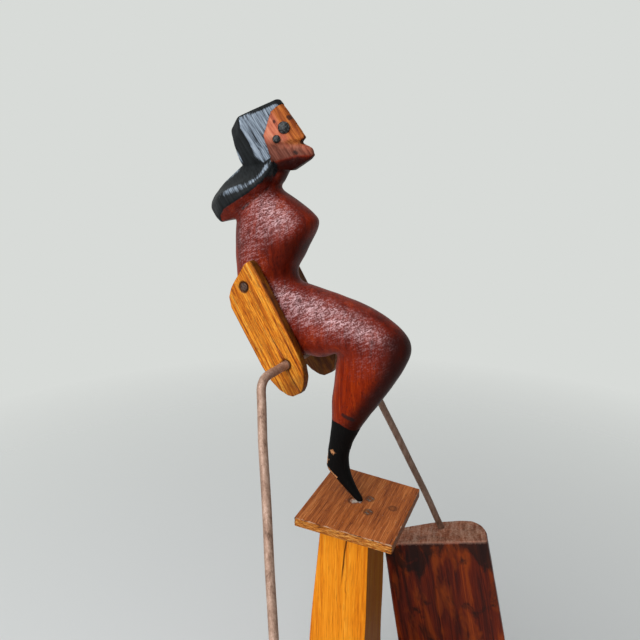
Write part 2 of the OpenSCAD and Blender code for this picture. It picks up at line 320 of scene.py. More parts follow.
class Paint:
    """A node material and the few ways in which its nodes are added. Colours are screen colours."""

    def __init__(self, name):
        self.material = bpy.data.materials.new(name)
        self.material.use_nodes = True
        self.tree = self.material.node_tree
        self.shader = self.tree.nodes["Principled BSDF"]

    def set(self, socket, value):
        if isinstance(value, Tone):
            self.tree.links.new(value.socket, socket)
        else:
            socket.default_value = tint(*value) if socket.type == "RGBA" else value

    def node(self, kind, settings=None, sockets=None, out=0):
        """Any node: its type, its settings, the values or links of its sockets, and the output wanted."""
        made = self.tree.nodes.new(kind)
        for key, value in (settings or {}).items():
            setattr(made, key, value)
        for key, value in (sockets or {}).items():
            self.set(made.inputs[key], value)
        return Tone(self, made.outputs[out])

    def local(self):
        """The piece's own pattern coordinates, in millimetres."""
        return self.node("ShaderNodeAttribute", {"attribute_name": "local"}, out="Vector")

    def value(self, key):
        """A value that is stored on the piece's points."""
        return self.node("ShaderNodeAttribute", {"attribute_name": key}, out="Fac")

    def ragged(self, key, field, spread, low, high):
        """A stored value made uneven by noise, then raised from 0 to 1 between two values."""
        return (self.value(key) + (field - 0.5) * spread).step(low, high)

    def place(self):
        """Object coordinates in millimetres."""
        place = self.node("ShaderNodeTexCoord", out="Object")
        return self.node("ShaderNodeVectorMath", {"operation": "SCALE"}, {0: place, "Scale": 1 / MM})

    def axis(self, vector, name):
        return self.node("ShaderNodeSeparateXYZ", None, {0: vector}, out=name)

    def turned(self, vector, angle):
        """The pattern turned about the y axis."""
        return self.node("ShaderNodeMapping", None, {"Vector": vector, "Rotation": (0.0, angle, 0.0)})

    def noise(self, vector, size, detail=2.0, rough=0.5, warp=0.0, shift=0.0):
        """Noise from 0 to 1, with features of the given size in millimetres on each axis."""
        scale = tuple(1.0 / s for s in size)
        stretched = self.node("ShaderNodeMapping", None,
                              {"Vector": vector, "Scale": scale, "Location": (shift, shift, shift)})
        return self.node("ShaderNodeTexNoise", None, {
            "Vector": stretched, "Scale": 1.0, "Detail": detail, "Roughness": rough, "Distortion": warp})

    def mix(self, factor, a, b):
        settings = {"data_type": "RGBA", "clamp_factor": True}
        return self.node("ShaderNodeMix", settings, {0: factor, 6: a, 7: b}, out=2)

    def layers(self, color, *coats):
        """A colour with others laid over it in turn, each given as factor and colour."""
        for factor, coat in coats:
            color = self.mix(factor, color, coat)
        return color

    def ramp(self, factor, *stops):
        """Colours along a factor, from stops of place, red, green and blue."""
        made = self.node("ShaderNodeValToRGB", None, {0: factor})
        elements = made.socket.node.color_ramp.elements
        while len(elements) < len(stops):
            elements.new(0.5)
        for element, (place, *color) in zip(elements, stops):
            element.position = place
            element.color = tint(*color)
        return made

    def finish(self, color, rough, height=None, depth=0.0, gloss=(), **sockets):
        """The material from colour, roughness, relief and its depth in millimetres, gloss and the rest."""
        sockets = {"Base Color": color, "Roughness": rough, **dict(zip(GLOSS, gloss)), **sockets}
        if height is not None:
            relief = {"Height": height, "Strength": 1.0, "Distance": depth * MM}
            sockets["Normal"] = self.node("ShaderNodeBump", None, relief)
        for key, value in sockets.items():
            self.set(self.shader.inputs[key], value)
        return self.material


# Finishes
def wood(name, across, along, warp):
    """A new finish, its coordinates, and grain along their z axis: broad streaks, fine fibres and pores."""
    paint = Paint(name)
    local = paint.local()
    streak = paint.noise(local, (across, across, along), 3.0, 0.6, warp)
    fibre = paint.noise(local, (across / 7, across / 7, along / 3), 2.0, 0.6)
    pore = paint.noise(local, (across / 9, across / 9, along / 12), 1.0, 0.5, 0.0, 7.3)
    return paint, local, streak, fibre, pore.step(0.64, 0.72)


def slat_finish():
    """Golden board with strong streaky grain and a dark coat: painted shade on its sawn edges, inner face
    and ends, and its dark splits and holes.
    """
    paint, local, streak, fibre, pore = wood("golden_slat", 1.3, 50, 0.3)
    line = paint.noise(local, (0.55, 1.6, 34), 3.0, 0.65, 0.25, 3.1)
    thin = paint.noise(local, (0.30, 1.0, 3.6), 2.0, 0.65, 0.2, 1.7)
    patch = paint.noise(local, (4, 4, 7), 3.0, 0.6)
    grain = paint.ramp(
        streak * 0.22 + line * 0.40 + thin * 0.38, (0.38, 108, 46, 8), (0.46, 184, 94, 14),
        (0.52, 226, 138, 34), (0.57, 246, 168, 56), (0.65, 255, 206, 112))
    # The last, dark coat is painted shade together with dark splits and holes, from the points' values
    color = paint.layers(
        grain, (thin.step(0.53, 0.63) * 0.75, (112, 50, 10)), (pore * 0.6, (84, 36, 10)),
        (paint.ragged("soot", patch, 0.5, 0.35, 0.85) * 0.92, (56, 27, 12)))
    height = fibre * 0.4 + line * 0.5 - pore * 0.6 - thin * 0.7
    return paint.finish(color, 0.36 + fibre * 0.25, height, 0.11, (0.1, 0.06, 0.35))


def post_finish():
    """Honey pine with fine straight grain, a check down the front and curly figure."""
    paint, local, streak, fibre, pore = wood("honey_pine", 1.5, 80, 0.5)
    across, up, front = paint.axis(local, "X"), paint.axis(local, "Z"), paint.value("front")
    wave = paint.noise(local, (5, 5, 9), 2.0, 0.5, 0.0, 2.0) - 0.5
    line = paint.noise(local, (0.5, 0.5, 40), 2.0, 0.6, 0.3, 4.0).step(0.58, 0.70)
    blotch = paint.noise(local, (6, 6, 20), 3.0, 0.6, 0.4, 2.0).step(0.55, 0.75)
    curl = abs(across + wave * 9.0 - CURL_AT).step(0.5, 0.12) * up.step(CURL_HIGH, CURL_HIGH - 6.0)
    curl = curl * (up + wave * 4.0).step(CURL_LOW, CURL_LOW + 3.0) * front
    split = abs(across - CHECK_AT - (up - CHECK_TOP) * CHECK_LEAN + wave * 0.6)
    check = split.step(0.30, 0.10) * up.step(CHECK_TOP - CHECK_LONG, CHECK_TOP - CHECK_LONG * 0.6) * front
    grain = paint.ramp(
        streak * 0.55 + fibre * 0.45, (0.32, 196, 100, 12), (0.46, 238, 138, 22), (0.58, 252, 158, 34),
        (0.74, 255, 184, 70))
    # The last, darkest coat is painted shade, on the side facing +x and just under the platform
    color = paint.layers(
        grain, (line * 0.5, (176, 84, 12)), (blotch * 0.35, (198, 96, 14)), (pore * 0.35, (128, 60, 12)),
        (curl * 0.55, (150, 70, 12)), (check * 0.9, (58, 26, 6)),
        (paint.value("knot").step(0.0, 0.5), (126, 64, 16)),
        (paint.value("soot").step(0.3, 0.75) * 0.9, (70, 25, 1)))
    height = fibre * 0.6 + streak * 0.4 - pore * 0.5 - line * 0.4 - check * 3.0
    return paint.finish(color, 0.44 + fibre * 0.2, height, 0.07, (0.06, 0.02, 0.4))


def platform_finish():
    """Red-brown board with fine grain, pale torn fibres along its front edge and small dents."""
    paint, local, streak, fibre, pore = wood("worn_board", 1.1, 26, 0.5)
    scratch = paint.noise(local, (1.2, 0.22, 5), 2.0, 0.6, 0.0, 5.0)
    ply = paint.noise(local, (0.3, 2.6, 2.6), 4.0, 0.7, 0.5, 4.0)
    patch = paint.noise(local, (0.5, 0.5, 0.6), 3.0)
    deep, edge = scratch.step(0.64, 0.74), paint.value("torn")
    grain = paint.ramp(
        streak * 0.45 + fibre * 0.25 + scratch * 0.3, (0.37, 104, 46, 18), (0.46, 156, 82, 38),
        (0.54, 188, 105, 50), (0.65, 220, 144, 84))
    torn = paint.ramp(
        ply, (0.34, 84, 42, 12), (0.46, 176, 98, 28), (0.56, 206, 134, 52), (0.68, 236, 186, 112))
    # The dark coat from the points' values is painted shade on the +x edge, together with the dark marks on
    # the top
    color = paint.layers(
        grain, (pore * 0.7, (74, 32, 12)), (deep * 0.5, (206, 150, 100)), (edge.step(0.25, 0.65), torn),
        (paint.ragged("fray", ply, 2.4, 0.62, 0.95) * 0.7, (210, 178, 148)),
        (paint.value("soot").step(0.2, 0.8) * 0.85, (52, 25, 12)),
        (paint.ragged("worn", patch, 2.2, 0.4, 0.8) * 0.85, (216, 205, 190)))
    height = fibre * 0.4 + streak * 0.3 + scratch * 0.3 - pore * 0.7 + ply * edge
    return paint.finish(color, 0.46 + fibre * 0.22, height, 0.10, (0.15, 0.05, 0.4))


def weight_finish():
    """Dark varnished block with black patches, orange streaks and a dusty top."""
    paint, local, streak, fibre, _ = wood("dark_varnish", 2.6, 40, 0.9)
    glow = paint.noise(local, (5.5, 7, 20), 3.0, 0.55, 0.5, 9.0).step(0.50, 0.66)
    charred = paint.noise(local, (7, 7, 13), 4.0, 0.62, 0.6, 5.0) + paint.value("scorch") * 0.16
    speck = paint.noise(local, (0.7, 0.7, 0.9), 3.0, 0.6)
    ring = paint.noise(local, (1.1, 9, 9), 2.0, 0.55, 0.6, 3.0)
    dust = paint.ragged("dust", speck, 0.5, 0.35, 0.9)
    grain = paint.ramp(
        streak * 0.75 + fibre * 0.25, (0.32, 34, 7, 3), (0.44, 74, 17, 4), (0.54, 102, 29, 5),
        (0.66, 146, 58, 10))
    grey = paint.ramp(
        speck * 0.4 + ring * 0.6, (0.38, 142, 92, 70), (0.5, 182, 134, 108), (0.62, 208, 166, 142))
    color = paint.layers(
        grain, (glow * 0.75, (154, 64, 10)), (charred.step(0.55, 0.68) * 0.85, (20, 7, 5)),
        (dust * 0.75, grey), (paint.ragged("rim", speck, 1.2, 0.45, 0.9) * 0.3, (186, 138, 118)))
    height = fibre * 0.5 + streak * 0.5 + speck * 0.3
    rough = 0.36 + dust * 0.4 + fibre * 0.12
    return paint.finish(color, rough, height, 0.10, (0.12, 0.1 - dust * 0.08, 0.3))


def base_finish():
    """Brown stained board under the post."""
    paint, local, streak, fibre, pore = wood("stained_base", 3.2, 110, 0.7)
    patch = paint.noise(local, (2.5, 2.5, 6), 3.0)
    grain = paint.ramp(
        streak * 0.6 + fibre * 0.4, (0.30, 70, 34, 16), (0.47, 112, 58, 28), (0.62, 138, 76, 40),
        (0.78, 164, 98, 56))
    color = paint.layers(
        grain, (pore * 0.5, (48, 22, 10)),
        (paint.ragged("worn", patch, 0.9, 0.55, 0.9) * 0.6, (196, 140, 92)))
    height = fibre * 0.6 + streak * 0.4 - pore * 0.6
    return paint.finish(color, 0.42 + fibre * 0.2, height, 0.10, (0.3, 0.15, 0.4))


def wire_finish():
    """Old wire with a dull pinkish bloom, rust-brown pits and painted shade darkening its left half."""
    paint = Paint("old_wire")
    place = paint.place()
    bloom = paint.noise(place, (1.6, 1.6, 5.0), 4.0, 0.65)
    fine = paint.noise(place, (0.35, 0.35, 0.9), 2.0, 0.6)
    pit = paint.noise(place, (0.5, 0.5, 0.7), 2.0, 0.6, 0.0, 6.0).step(0.66, 0.74)
    grey = paint.ramp(
        bloom * 0.65 + fine * 0.35, (0.32, 96, 68, 52), (0.45, 152, 120, 101), (0.57, 178, 146, 127),
        (0.72, 208, 182, 165))
    # Painted shade: the half on the figure's left side is darker
    left = paint.axis(place, "Y").step(12, 34)
    color = paint.layers(grey, (pit * 0.7, (58, 38, 26)), (left * 0.6, (86, 60, 44)))
    return paint.finish(color, 0.42 + bloom * 0.2, fine - pit * 0.6, 0.05, (0.4,), Metallic=0.25)


def nail_finish(name, dark, light, rough):
    """Hammered steel with patches of rust."""
    paint = Paint(name)
    rust = paint.noise(paint.place(), (0.5, 0.5, 0.5), 4.0, 0.65)
    color = paint.ramp(rust, (0.34, *dark), (0.62, *light))
    return paint.finish(color, rough + rust * 0.25, rust, 0.08, Metallic=0.6)


def tack_finish():
    """Black painted tack with worn spots."""
    paint = Paint("black_tack")
    place = paint.place()
    chip = paint.noise(place, (0.6, 0.6, 0.6), 3.0, 0.65).step(0.52, 0.66)
    color = paint.mix(chip * 0.8, (13, 14, 15), (104, 108, 108))
    return paint.finish(color, 0.3 + chip * 0.3, paint.noise(place, (0.4, 0.4, 0.4)), 0.06, (0.25, 0.06))


# Slant of the tool marks on the body and of the grain along the face's profile
TOOL_SLANT = math.radians(-62)
PROFILE_SLANT = math.radians(37)


def carving_finish():
    """Stained and varnished carving: red-brown body, paler face, black painted hair and boot."""
    paint, local, streak, fibre, pore = wood("carved_figure", 2.0, 26, 0.6)
    broad = paint.noise(local, (8, 8, 14), 3.0, 0.6, 0.4)
    speck = paint.noise(local, (0.40, 0.40, 0.48), 2.0, 0.65)

    # Stained body with upright grain and orange behind the calf; the last dark coat is painted shade, dark
    # in creases, along the shin and knee, on the belly and on surfaces facing down
    body = paint.ramp(
        broad * 0.4 + streak * 0.4 + fibre * 0.2, (0.32, 54, 11, 6), (0.44, 92, 22, 9),
        (0.55, 124, 34, 11), (0.70, 168, 62, 16))
    amber = paint.ramp(
        streak * 0.6 + fibre * 0.4, (0.36, 104, 22, 2), (0.52, 140, 39, 2), (0.66, 172, 64, 8))
    stain = paint.layers(
        body, (paint.ragged("amber", broad, 0.9, 0.2, 0.9), amber), (pore * 0.6, (38, 9, 5)),
        (speck.step(0.60, 0.74) * 0.3, (40, 10, 7)),
        (paint.ragged("shade", broad, 0.7, 0.25, 0.95) * 0.92, (34, 9, 7)))

    # Painted sheen: the colour is lightened, with pale painted glints and dark gaps between them along
    # slanting tool marks; the same places get more gloss
    tooling = paint.turned(local, TOOL_SLANT)
    band = paint.noise(tooling, (1.3, 2.0, 7.0), 3.0, 0.6, 0.3, 2.0).step(0.34, 0.62)
    hatch = paint.noise(tooling, (0.34, 0.6, 1.9), 2.0, 0.6, 0.2, 8.0)
    tooled = speck * 0.5 + hatch * 0.5
    polish = paint.ragged("polish", broad, 0.5, 0.0, 1.0) * (0.45 + band * 0.6)
    painted_glint = (tooled + polish * 0.05).step(0.50, 0.63) * polish
    stain = paint.layers(
        stain, (polish * 0.3, (136, 66, 66)), (tooled.step(0.51, 0.40) * polish * 0.75, (52, 14, 16)),
        (painted_glint * 0.74, (230, 188, 190)))

    # Paler face with grain along the profile, darker toward the jaw
    profile = paint.turned(local, PROFILE_SLANT)
    lines = paint.noise(profile, (0.5, 1.2, 8), 3.0, 0.65, 0.25)
    patch = paint.noise(profile, (2.6, 2.6, 5), 3.0, 0.6, 0.3, 3.0)
    face = paint.ragged("face", patch, 0.3, 0.2, 0.8)
    skin = paint.ramp(
        lines * 0.5 + patch * 0.5, (0.32, 122, 56, 42), (0.44, 176, 92, 68), (0.55, 204, 118, 88),
        (0.70, 226, 152, 120))
    gold = paint.ramp(lines, (0.36, 120, 56, 14), (0.52, 172, 92, 26), (0.68, 198, 122, 50))
    brown = paint.mix(lines.step(0.42, 0.62), (70, 37, 30), (116, 70, 58))
    skin = paint.layers(
        skin, (paint.ragged("front", patch, 0.8, 0.25, 0.85) * 0.85, gold),
        (paint.ragged("jaw", patch, 0.9, 0.2, 0.95) * 0.88, brown))

    # Painted marks, hair and boot, and bare wood where the paint is chipped. The marks also carry painted
    # shade on the forehead's front, and the hair's black is lightened to grey-blue as a painted sheen
    rag = paint.noise(local, (0.6, 0.6, 0.6), 2.0, 0.6)
    strand = paint.noise(profile, (0.32, 0.8, 9), 3.0, 0.7, 0.15, 5.0)
    hair = paint.ragged("hair", rag, 0.5, -0.06, 0.10)
    boot = paint.ragged("boot", rag, 0.4, -0.06, 0.10)
    chip = paint.ragged("chip", rag, 1.3, 0.05, 0.3)
    black = paint.ramp(strand, (0.36, 11, 12, 13), (0.66, 34, 37, 39))
    # Grey-blue painted sheen laid over the hair's black
    bloom = paint.ramp(
        strand, (0.34, 38, 42, 47), (0.46, 112, 123, 135), (0.58, 150, 163, 176), (0.72, 184, 195, 206))
    hair_with_painted_sheen = paint.mix(paint.ragged("rubbed", strand, 1.1, 0.3, 0.8) * 0.9, black, bloom)
    blacking = paint.mix(fibre.step(0.55, 0.75), (7, 6, 6), (22, 18, 16))
    bare = paint.mix(fibre, (164, 98, 58), (220, 164, 114))
    mark = paint.ragged("mark", rag, 0.5, 0.1, 0.5)
    color = paint.layers(
        stain, (face, skin), (mark * 0.8, (30, 24, 24)), (hair, hair_with_painted_sheen), (boot, blacking), (chip, bare))

    # Gloss and relief
    rough = 0.32 + speck * 0.22 + face * 0.12 + boot * 0.25 + chip * 0.3
    coat = (0.02 + polish * 0.4) * (1 - face * 0.7) * (1 - boot) * (1 - chip * 0.6)
    relief = (speck * 0.75 + fibre * 0.25 - pore * 0.4) * (1 - hair * 0.8) * (1 - boot * 0.7)
    relief = relief + strand * hair * 0.8 + lines * face * (1 - hair) * 0.5
    relief = relief + (hair + boot) * 0.5 - chip * 0.7
    return paint.finish(color, rough, relief, 0.08, (0.06, coat, 0.33))


# Carved figure
# Leg from toe to hip: front x, front z, back x, back z, half width
LEG = [(0.85, 0.5, -0.95, 0.5, 0.85), (0.5, 1.6, -2.0, 1.3, 1.2), (-0.8, 3.4, -3.5, 2.5, 1.45),
       (-3.5, 8.3, -7.4, 5.9, 2.2),
       (-4.4, 13.4, -11.1, 9.4, 2.9), (-3.6, 17.5, -10.9, 15, 3.3), (-2.6, 20.5, -10.2, 19.5, 3.6),
       (0.2, 26.2, -9.4, 25.5, 4.6), (4.9, 33.6, -9.2, 33, 5.9), (9.4, 41, -8.4, 40, 6.5),
       (12.7, 47.5, -7.9, 44.6, 6.7), (13.7, 51.8, -7.6, 46.6, 6.8), (12.0, 55.4, -7.6, 47.6, 7),
       (7.4, 58.8, -7.8, 47.8, 7.3), (0.6, 61.8, -9.2, 46.8, 7.6), (-6.8, 63.8, -12.8, 45.4, 7.7),
       (-16, 65.6, -21, 45.4, 7.7), (-25, 67.0, -29, 45.8, 7.7), (-33, 66.0, -37, 48, 7.3)]
LEG_POWER = 2.2
# Torso from seat to neck in the same order. The rings tilt with the chest's ridge.
TORSO = [(-16, 46, -36, 46.4, 5.8), (-14.5, 51, -39.5, 50, 7.0), (-16, 58, -41.2, 54.5, 7.2),
         (-20, 64.5, -41.4, 57.5, 7.2), (-22.8, 69.2, -41.4, 60.2, 7.0), (-19.6, 75.5, -41.5, 64.2, 7.5),
         (-15.7, 83.2, -41.7, 69.2, 8.3), (-17.2, 86.2, -41.7, 74.5, 8.0), (-22.2, 89.5, -41.3, 82, 6.9),
         (-27.4, 92.6, -40.2, 89, 5.2), (-25.9, 95, -38.4, 94, 4.3), (-24.1, 97.8, -37, 98, 4.1)]
TORSO_POWER = 2.35
# Head from jaw to crown: front x, front z, back x, back z, half widths at front, side and back,
# and the share of its length where it is widest
HEAD = [(-22.4, 97.6, -35.6, 98.4, 1.2, 5.6, 4.6, 0.5), (-16.9, 100.6, -36.4, 99.2, 0.9, 6.3, 5, 0.57),
        (-15.9, 101.6, -36.8, 99.8, 0.8, 6.5, 5, 0.61), (-16.6, 103.5, -37.6, 101.5, 0.8, 6.8, 5, 0.65),
        (-20.1, 104.8, -38.1, 102.9, 0.8, 7, 5, 0.62), (-18.5, 106.1, -38.6, 104, 0.7, 7.1, 5, 0.66),
        (-22.3, 110.7, -39.6, 108, 0.8, 7.3, 5, 0.72), (-27.1, 115.95, -37.8, 110.6, 0.9, 6.2, 4.6, 0.83)]
# Flared hair from jaw to tip: crest, ridge, lower edge and underside, each as x, half width, z,
# and how far back each place is on the left side
FLARE = [[(-31, 3.5, 101.5), (-25.3, 6.3, 100.6), (-25.1, 6.4, 99.0), (-27, 4, 95.5)],
         [(-34.5, 4, 100.2), (-28.4, 7.7, 96.1), (-27.9, 7.7, 94.7), (-30, 4.6, 91.6)],
         [(-38, 4.6, 97.6), (-32.3, 8.3, 94.1), (-32.3, 8.4, 91.7), (-34, 4.8, 88)],
         [(-42.6, 5, 94.0), (-37.5, 8.5, 92.5), (-37.5, 8.6, 88.8), (-38.7, 5, 84.6)],
         [(-46, 5, 90.9), (-42.7, 8, 90.3), (-41.8, 8.2, 86.6), (-42.2, 5.4, 83.4)],
         [(-48.4, 4.6, 88.2), (-48, 5.4, 86.4), (-45.8, 6.2, 84.4), (-44.6, 5.6, 82.8)]]
FLARE_LEFT_BACK = [2.0, 3.4, 2.0, 0.8, 0, 0]
# Hairline on the cheek, as height and x
HAIRLINE = [(97.6, -24.4), (99.2, -24.9), (100.7, -26.0), (103.1, -27.3), (106.7, -28.6), (109.3, -28.2),
            (112.6, -27.9), (113.8, -26.9), (114.8, -25.4), (115.3, -22)]
# Lower edge of the paint on the flare, and line of the crown, as x and height
FLARE_EDGE = [(-46, 79), (-44.2, 82.7), (-43.3, 84.9), (-40.8, 87.0), (-36.1, 89.5), (-32.3, 91.6),
              (-29.8, 93.3), (-27.8, 94.8), (-25.8, 97.4), (-25, 99.2)]
CROWN_LINE = [(-37.8, 110.6), (-27.1, 115.95)]
# Front of the face and front of the shin, as height and x
FACE_LINE = [(100.6, -16), (103, -16.8), (104.6, -20), (105.9, -18.7), (110.7, -22.3), (116, -27)]
SHIN_LINE = [(20, -3), (27, 0.5), (34, 5), (41, 9.5), (47, 12.6), (52, 13.4), (56, 11.8)]
# Lower edge of the face's paler stain, and top of the boot's paint, as x and height
JAW_LINE = [(-29, 97.8), (-26.6, 99.5), (-24.3, 100.3), (-22.3, 100.9), (-20, 101.6), (-17, 101.6),
            (-14, 101.2)]
BOOT_TOP = [(-9.5, 27.2), (-6, 27.6), (-4.7, 27.5), (-2.2, 26.0), (0.5, 24.6)]
# Tacks on the right cheek, and how far the cheek faces forward
EYE = np.array([-23.85, -2.5, 108.6])
EAR = np.array([-25.3, -3.9, 105.7])
CHEEK = math.radians(24)
# Painted marks, and chips in the boot's paint: strokes as two ends in x and z and a radius,
# spots as centre and radius
MARK_STROKES = [((-23.4, 111.4), (-22.9, 110.9), 0.6), ((-20.4, 102.5), (-19.9, 102.1), 0.5),
                ((-26.7, 110.4), (-26.5, 110.0), 0.42), ((-3.3, 30.8), (-0.8, 29.8), 1.0)]
MARK_SPOTS = [((-20, 0, 104.8), 1.6), (EYE, 1.95), (EAR, 1.35)]
CHIP_STROKES = [((-10.9, 15.0), (-11.0, 11.8), 1.05), ((-10, 9.7), (-7.2, 7.6), 0.55)]
CHIP_SPOTS = [((-7.9, -2.7, 16.6), 1.1), ((-9.2, -2.4, 13.4), 0.5)]
# Direction that the places with painted sheen and extra gloss face, on the left side: roughly halfway
# between the ways to the window lamp and to the camera
SHEEN = np.array([0.10, 0.86, 0.50])
# Carving: fineness of the fused forms, how strongly and often they are sanded, and rounds of evening out
VOXEL = 0.35
NECK = 92
HEAD_SANDING = 0.14
BODY_SANDING = 0.5
SANDING_ROUNDS = 10
GROIN_ROUNDS = 8
BEND_ROUNDS = 6
RIDGE_ROUNDS = 10
SHEEN_GLOSS_ROUNDS = 60


def oval(front_x, front_z, back_x, back_z, half, power, n=48):
    """Rounded ring between a front and a back point."""
    a = np.linspace(0, 2 * np.pi, n, endpoint=False)
    across = np.sign(np.cos(a)) * np.abs(np.cos(a)) ** (2 / power)
    side = np.sign(np.sin(a)) * np.abs(np.sin(a)) ** (2 / power)
    x = (front_x + back_x + across * (front_x - back_x)) / 2
    z = (front_z + back_z + across * (front_z - back_z)) / 2
    return np.stack([x, half * side, z], 1)


def both_sides(half, left_back=0.0):
    """Ring from the points of one half, with its left side set back."""
    return np.array([(x - left_back, y, z) for x, y, z in half] + [(x, -y, z) for x, y, z in half[::-1]])


def wedge(front_x, front_z, back_x, back_z, face, side, back, wide_at):
    """Six-sided ring with a narrow face, a wide side and a flat back."""
    wide_x = front_x + wide_at * (back_x - front_x)
    wide_z = front_z + wide_at * (back_z - front_z)
    return both_sides([(front_x, face, front_z), (wide_x, side, wide_z), (back_x, back, back_z)])


def figure_blank():
    """The carving's rough forms as one closed mesh, in millimetres."""
    flare = zip(between(FLARE), between(FLARE_LEFT_BACK))
    forms = [loft([oval(*s, LEG_POWER) for s in between(LEG)]),
             loft([oval(*s, TORSO_POWER) for s in between(TORSO)]),
             loft([wedge(*s) for s in HEAD]),
             loft([both_sides(half, back) for half, back in flare])]
    points, faces, start = [], [], 0
    for form_points, form_faces in forms:
        points.append(form_points)
        faces += [tuple(i + start for i in face) for face in form_faces]
        start += len(form_points)
    obj = mesh_object("carved_figure", np.vstack(points), faces)
    remesh = obj.modifiers.new("fuse", "REMESH")
    remesh.mode = "VOXEL"
    remesh.voxel_size = VOXEL
    return baked(obj)


class Surface:
    """Neighbours of every point of a mesh."""

    def __init__(self, mesh):
        edges = np.empty(len(mesh.edges) * 2, int)
        mesh.edges.foreach_get("vertices", edges)
        self.a, self.b = edges.reshape(-1, 2).T
        self.count = len(mesh.vertices)
        self.links = np.maximum(np.bincount(edges, minlength=self.count), 1)

    def sums(self, at_a, at_b):
        """Sum at every point of what its edges bring to either end."""
        return np.bincount(self.a, at_a, self.count) + np.bincount(self.b, at_b, self.count)

    def mean(self, values):
        """Mean of each point's neighbours."""
        return self.sums(values[self.b], values[self.a]) / self.links

    def smoothed(self, values, rounds):
        for _ in range(rounds):
            values = self.mean(values)
        return values

    def sanded(self, points, share, rounds):
        """Points drawn toward their neighbours, by each point's share, a number of times."""
        for _ in range(rounds):
            mean = np.stack([self.mean(points[:, axis]) for axis in range(3)], 1)
            points = points + (mean - points) * share[:, None]
        return points

    def hollowness(self, points, normals, rounds):
        """How hollow the surface is at each point, below zero on ridges and above it in creases."""
        way = points[self.b] - points[self.a]
        length = np.linalg.norm(way, axis=1) ** 2
        first = np.einsum("ij,ij->i", normals[self.a], way) / length
        second = -np.einsum("ij,ij->i", normals[self.b], way) / length
        return self.smoothed(self.sums(first, second) / self.links, rounds)


def spot(points, centre, radius):
    """Falls from 1 at the centre of a spot through 0 at its rim, on both sides of the figure."""
    near = points * (1, 0, 1) - np.abs(points) * (0, 1, 0)
    return 1 - np.linalg.norm(near - np.array(centre), axis=1) / radius


def stroke(points, start, end, radius):
    """Falls from 1 along a short stroke seen from the side through 0 at its rim."""
    start, end = np.array(start), np.array(end)
    way = end - start
    from_start = points[:, ::2] - start
    along = np.clip(from_start @ way / (way @ way), 0, 1)
    return 1 - np.linalg.norm(from_start - along[:, None] * way, axis=1) / radius


def dabs(points, strokes, spots):
    """The greatest of several strokes and spots at each point."""
    return np.max([stroke(points, *s) for s in strokes] + [spot(points, *s) for s in spots], axis=0)


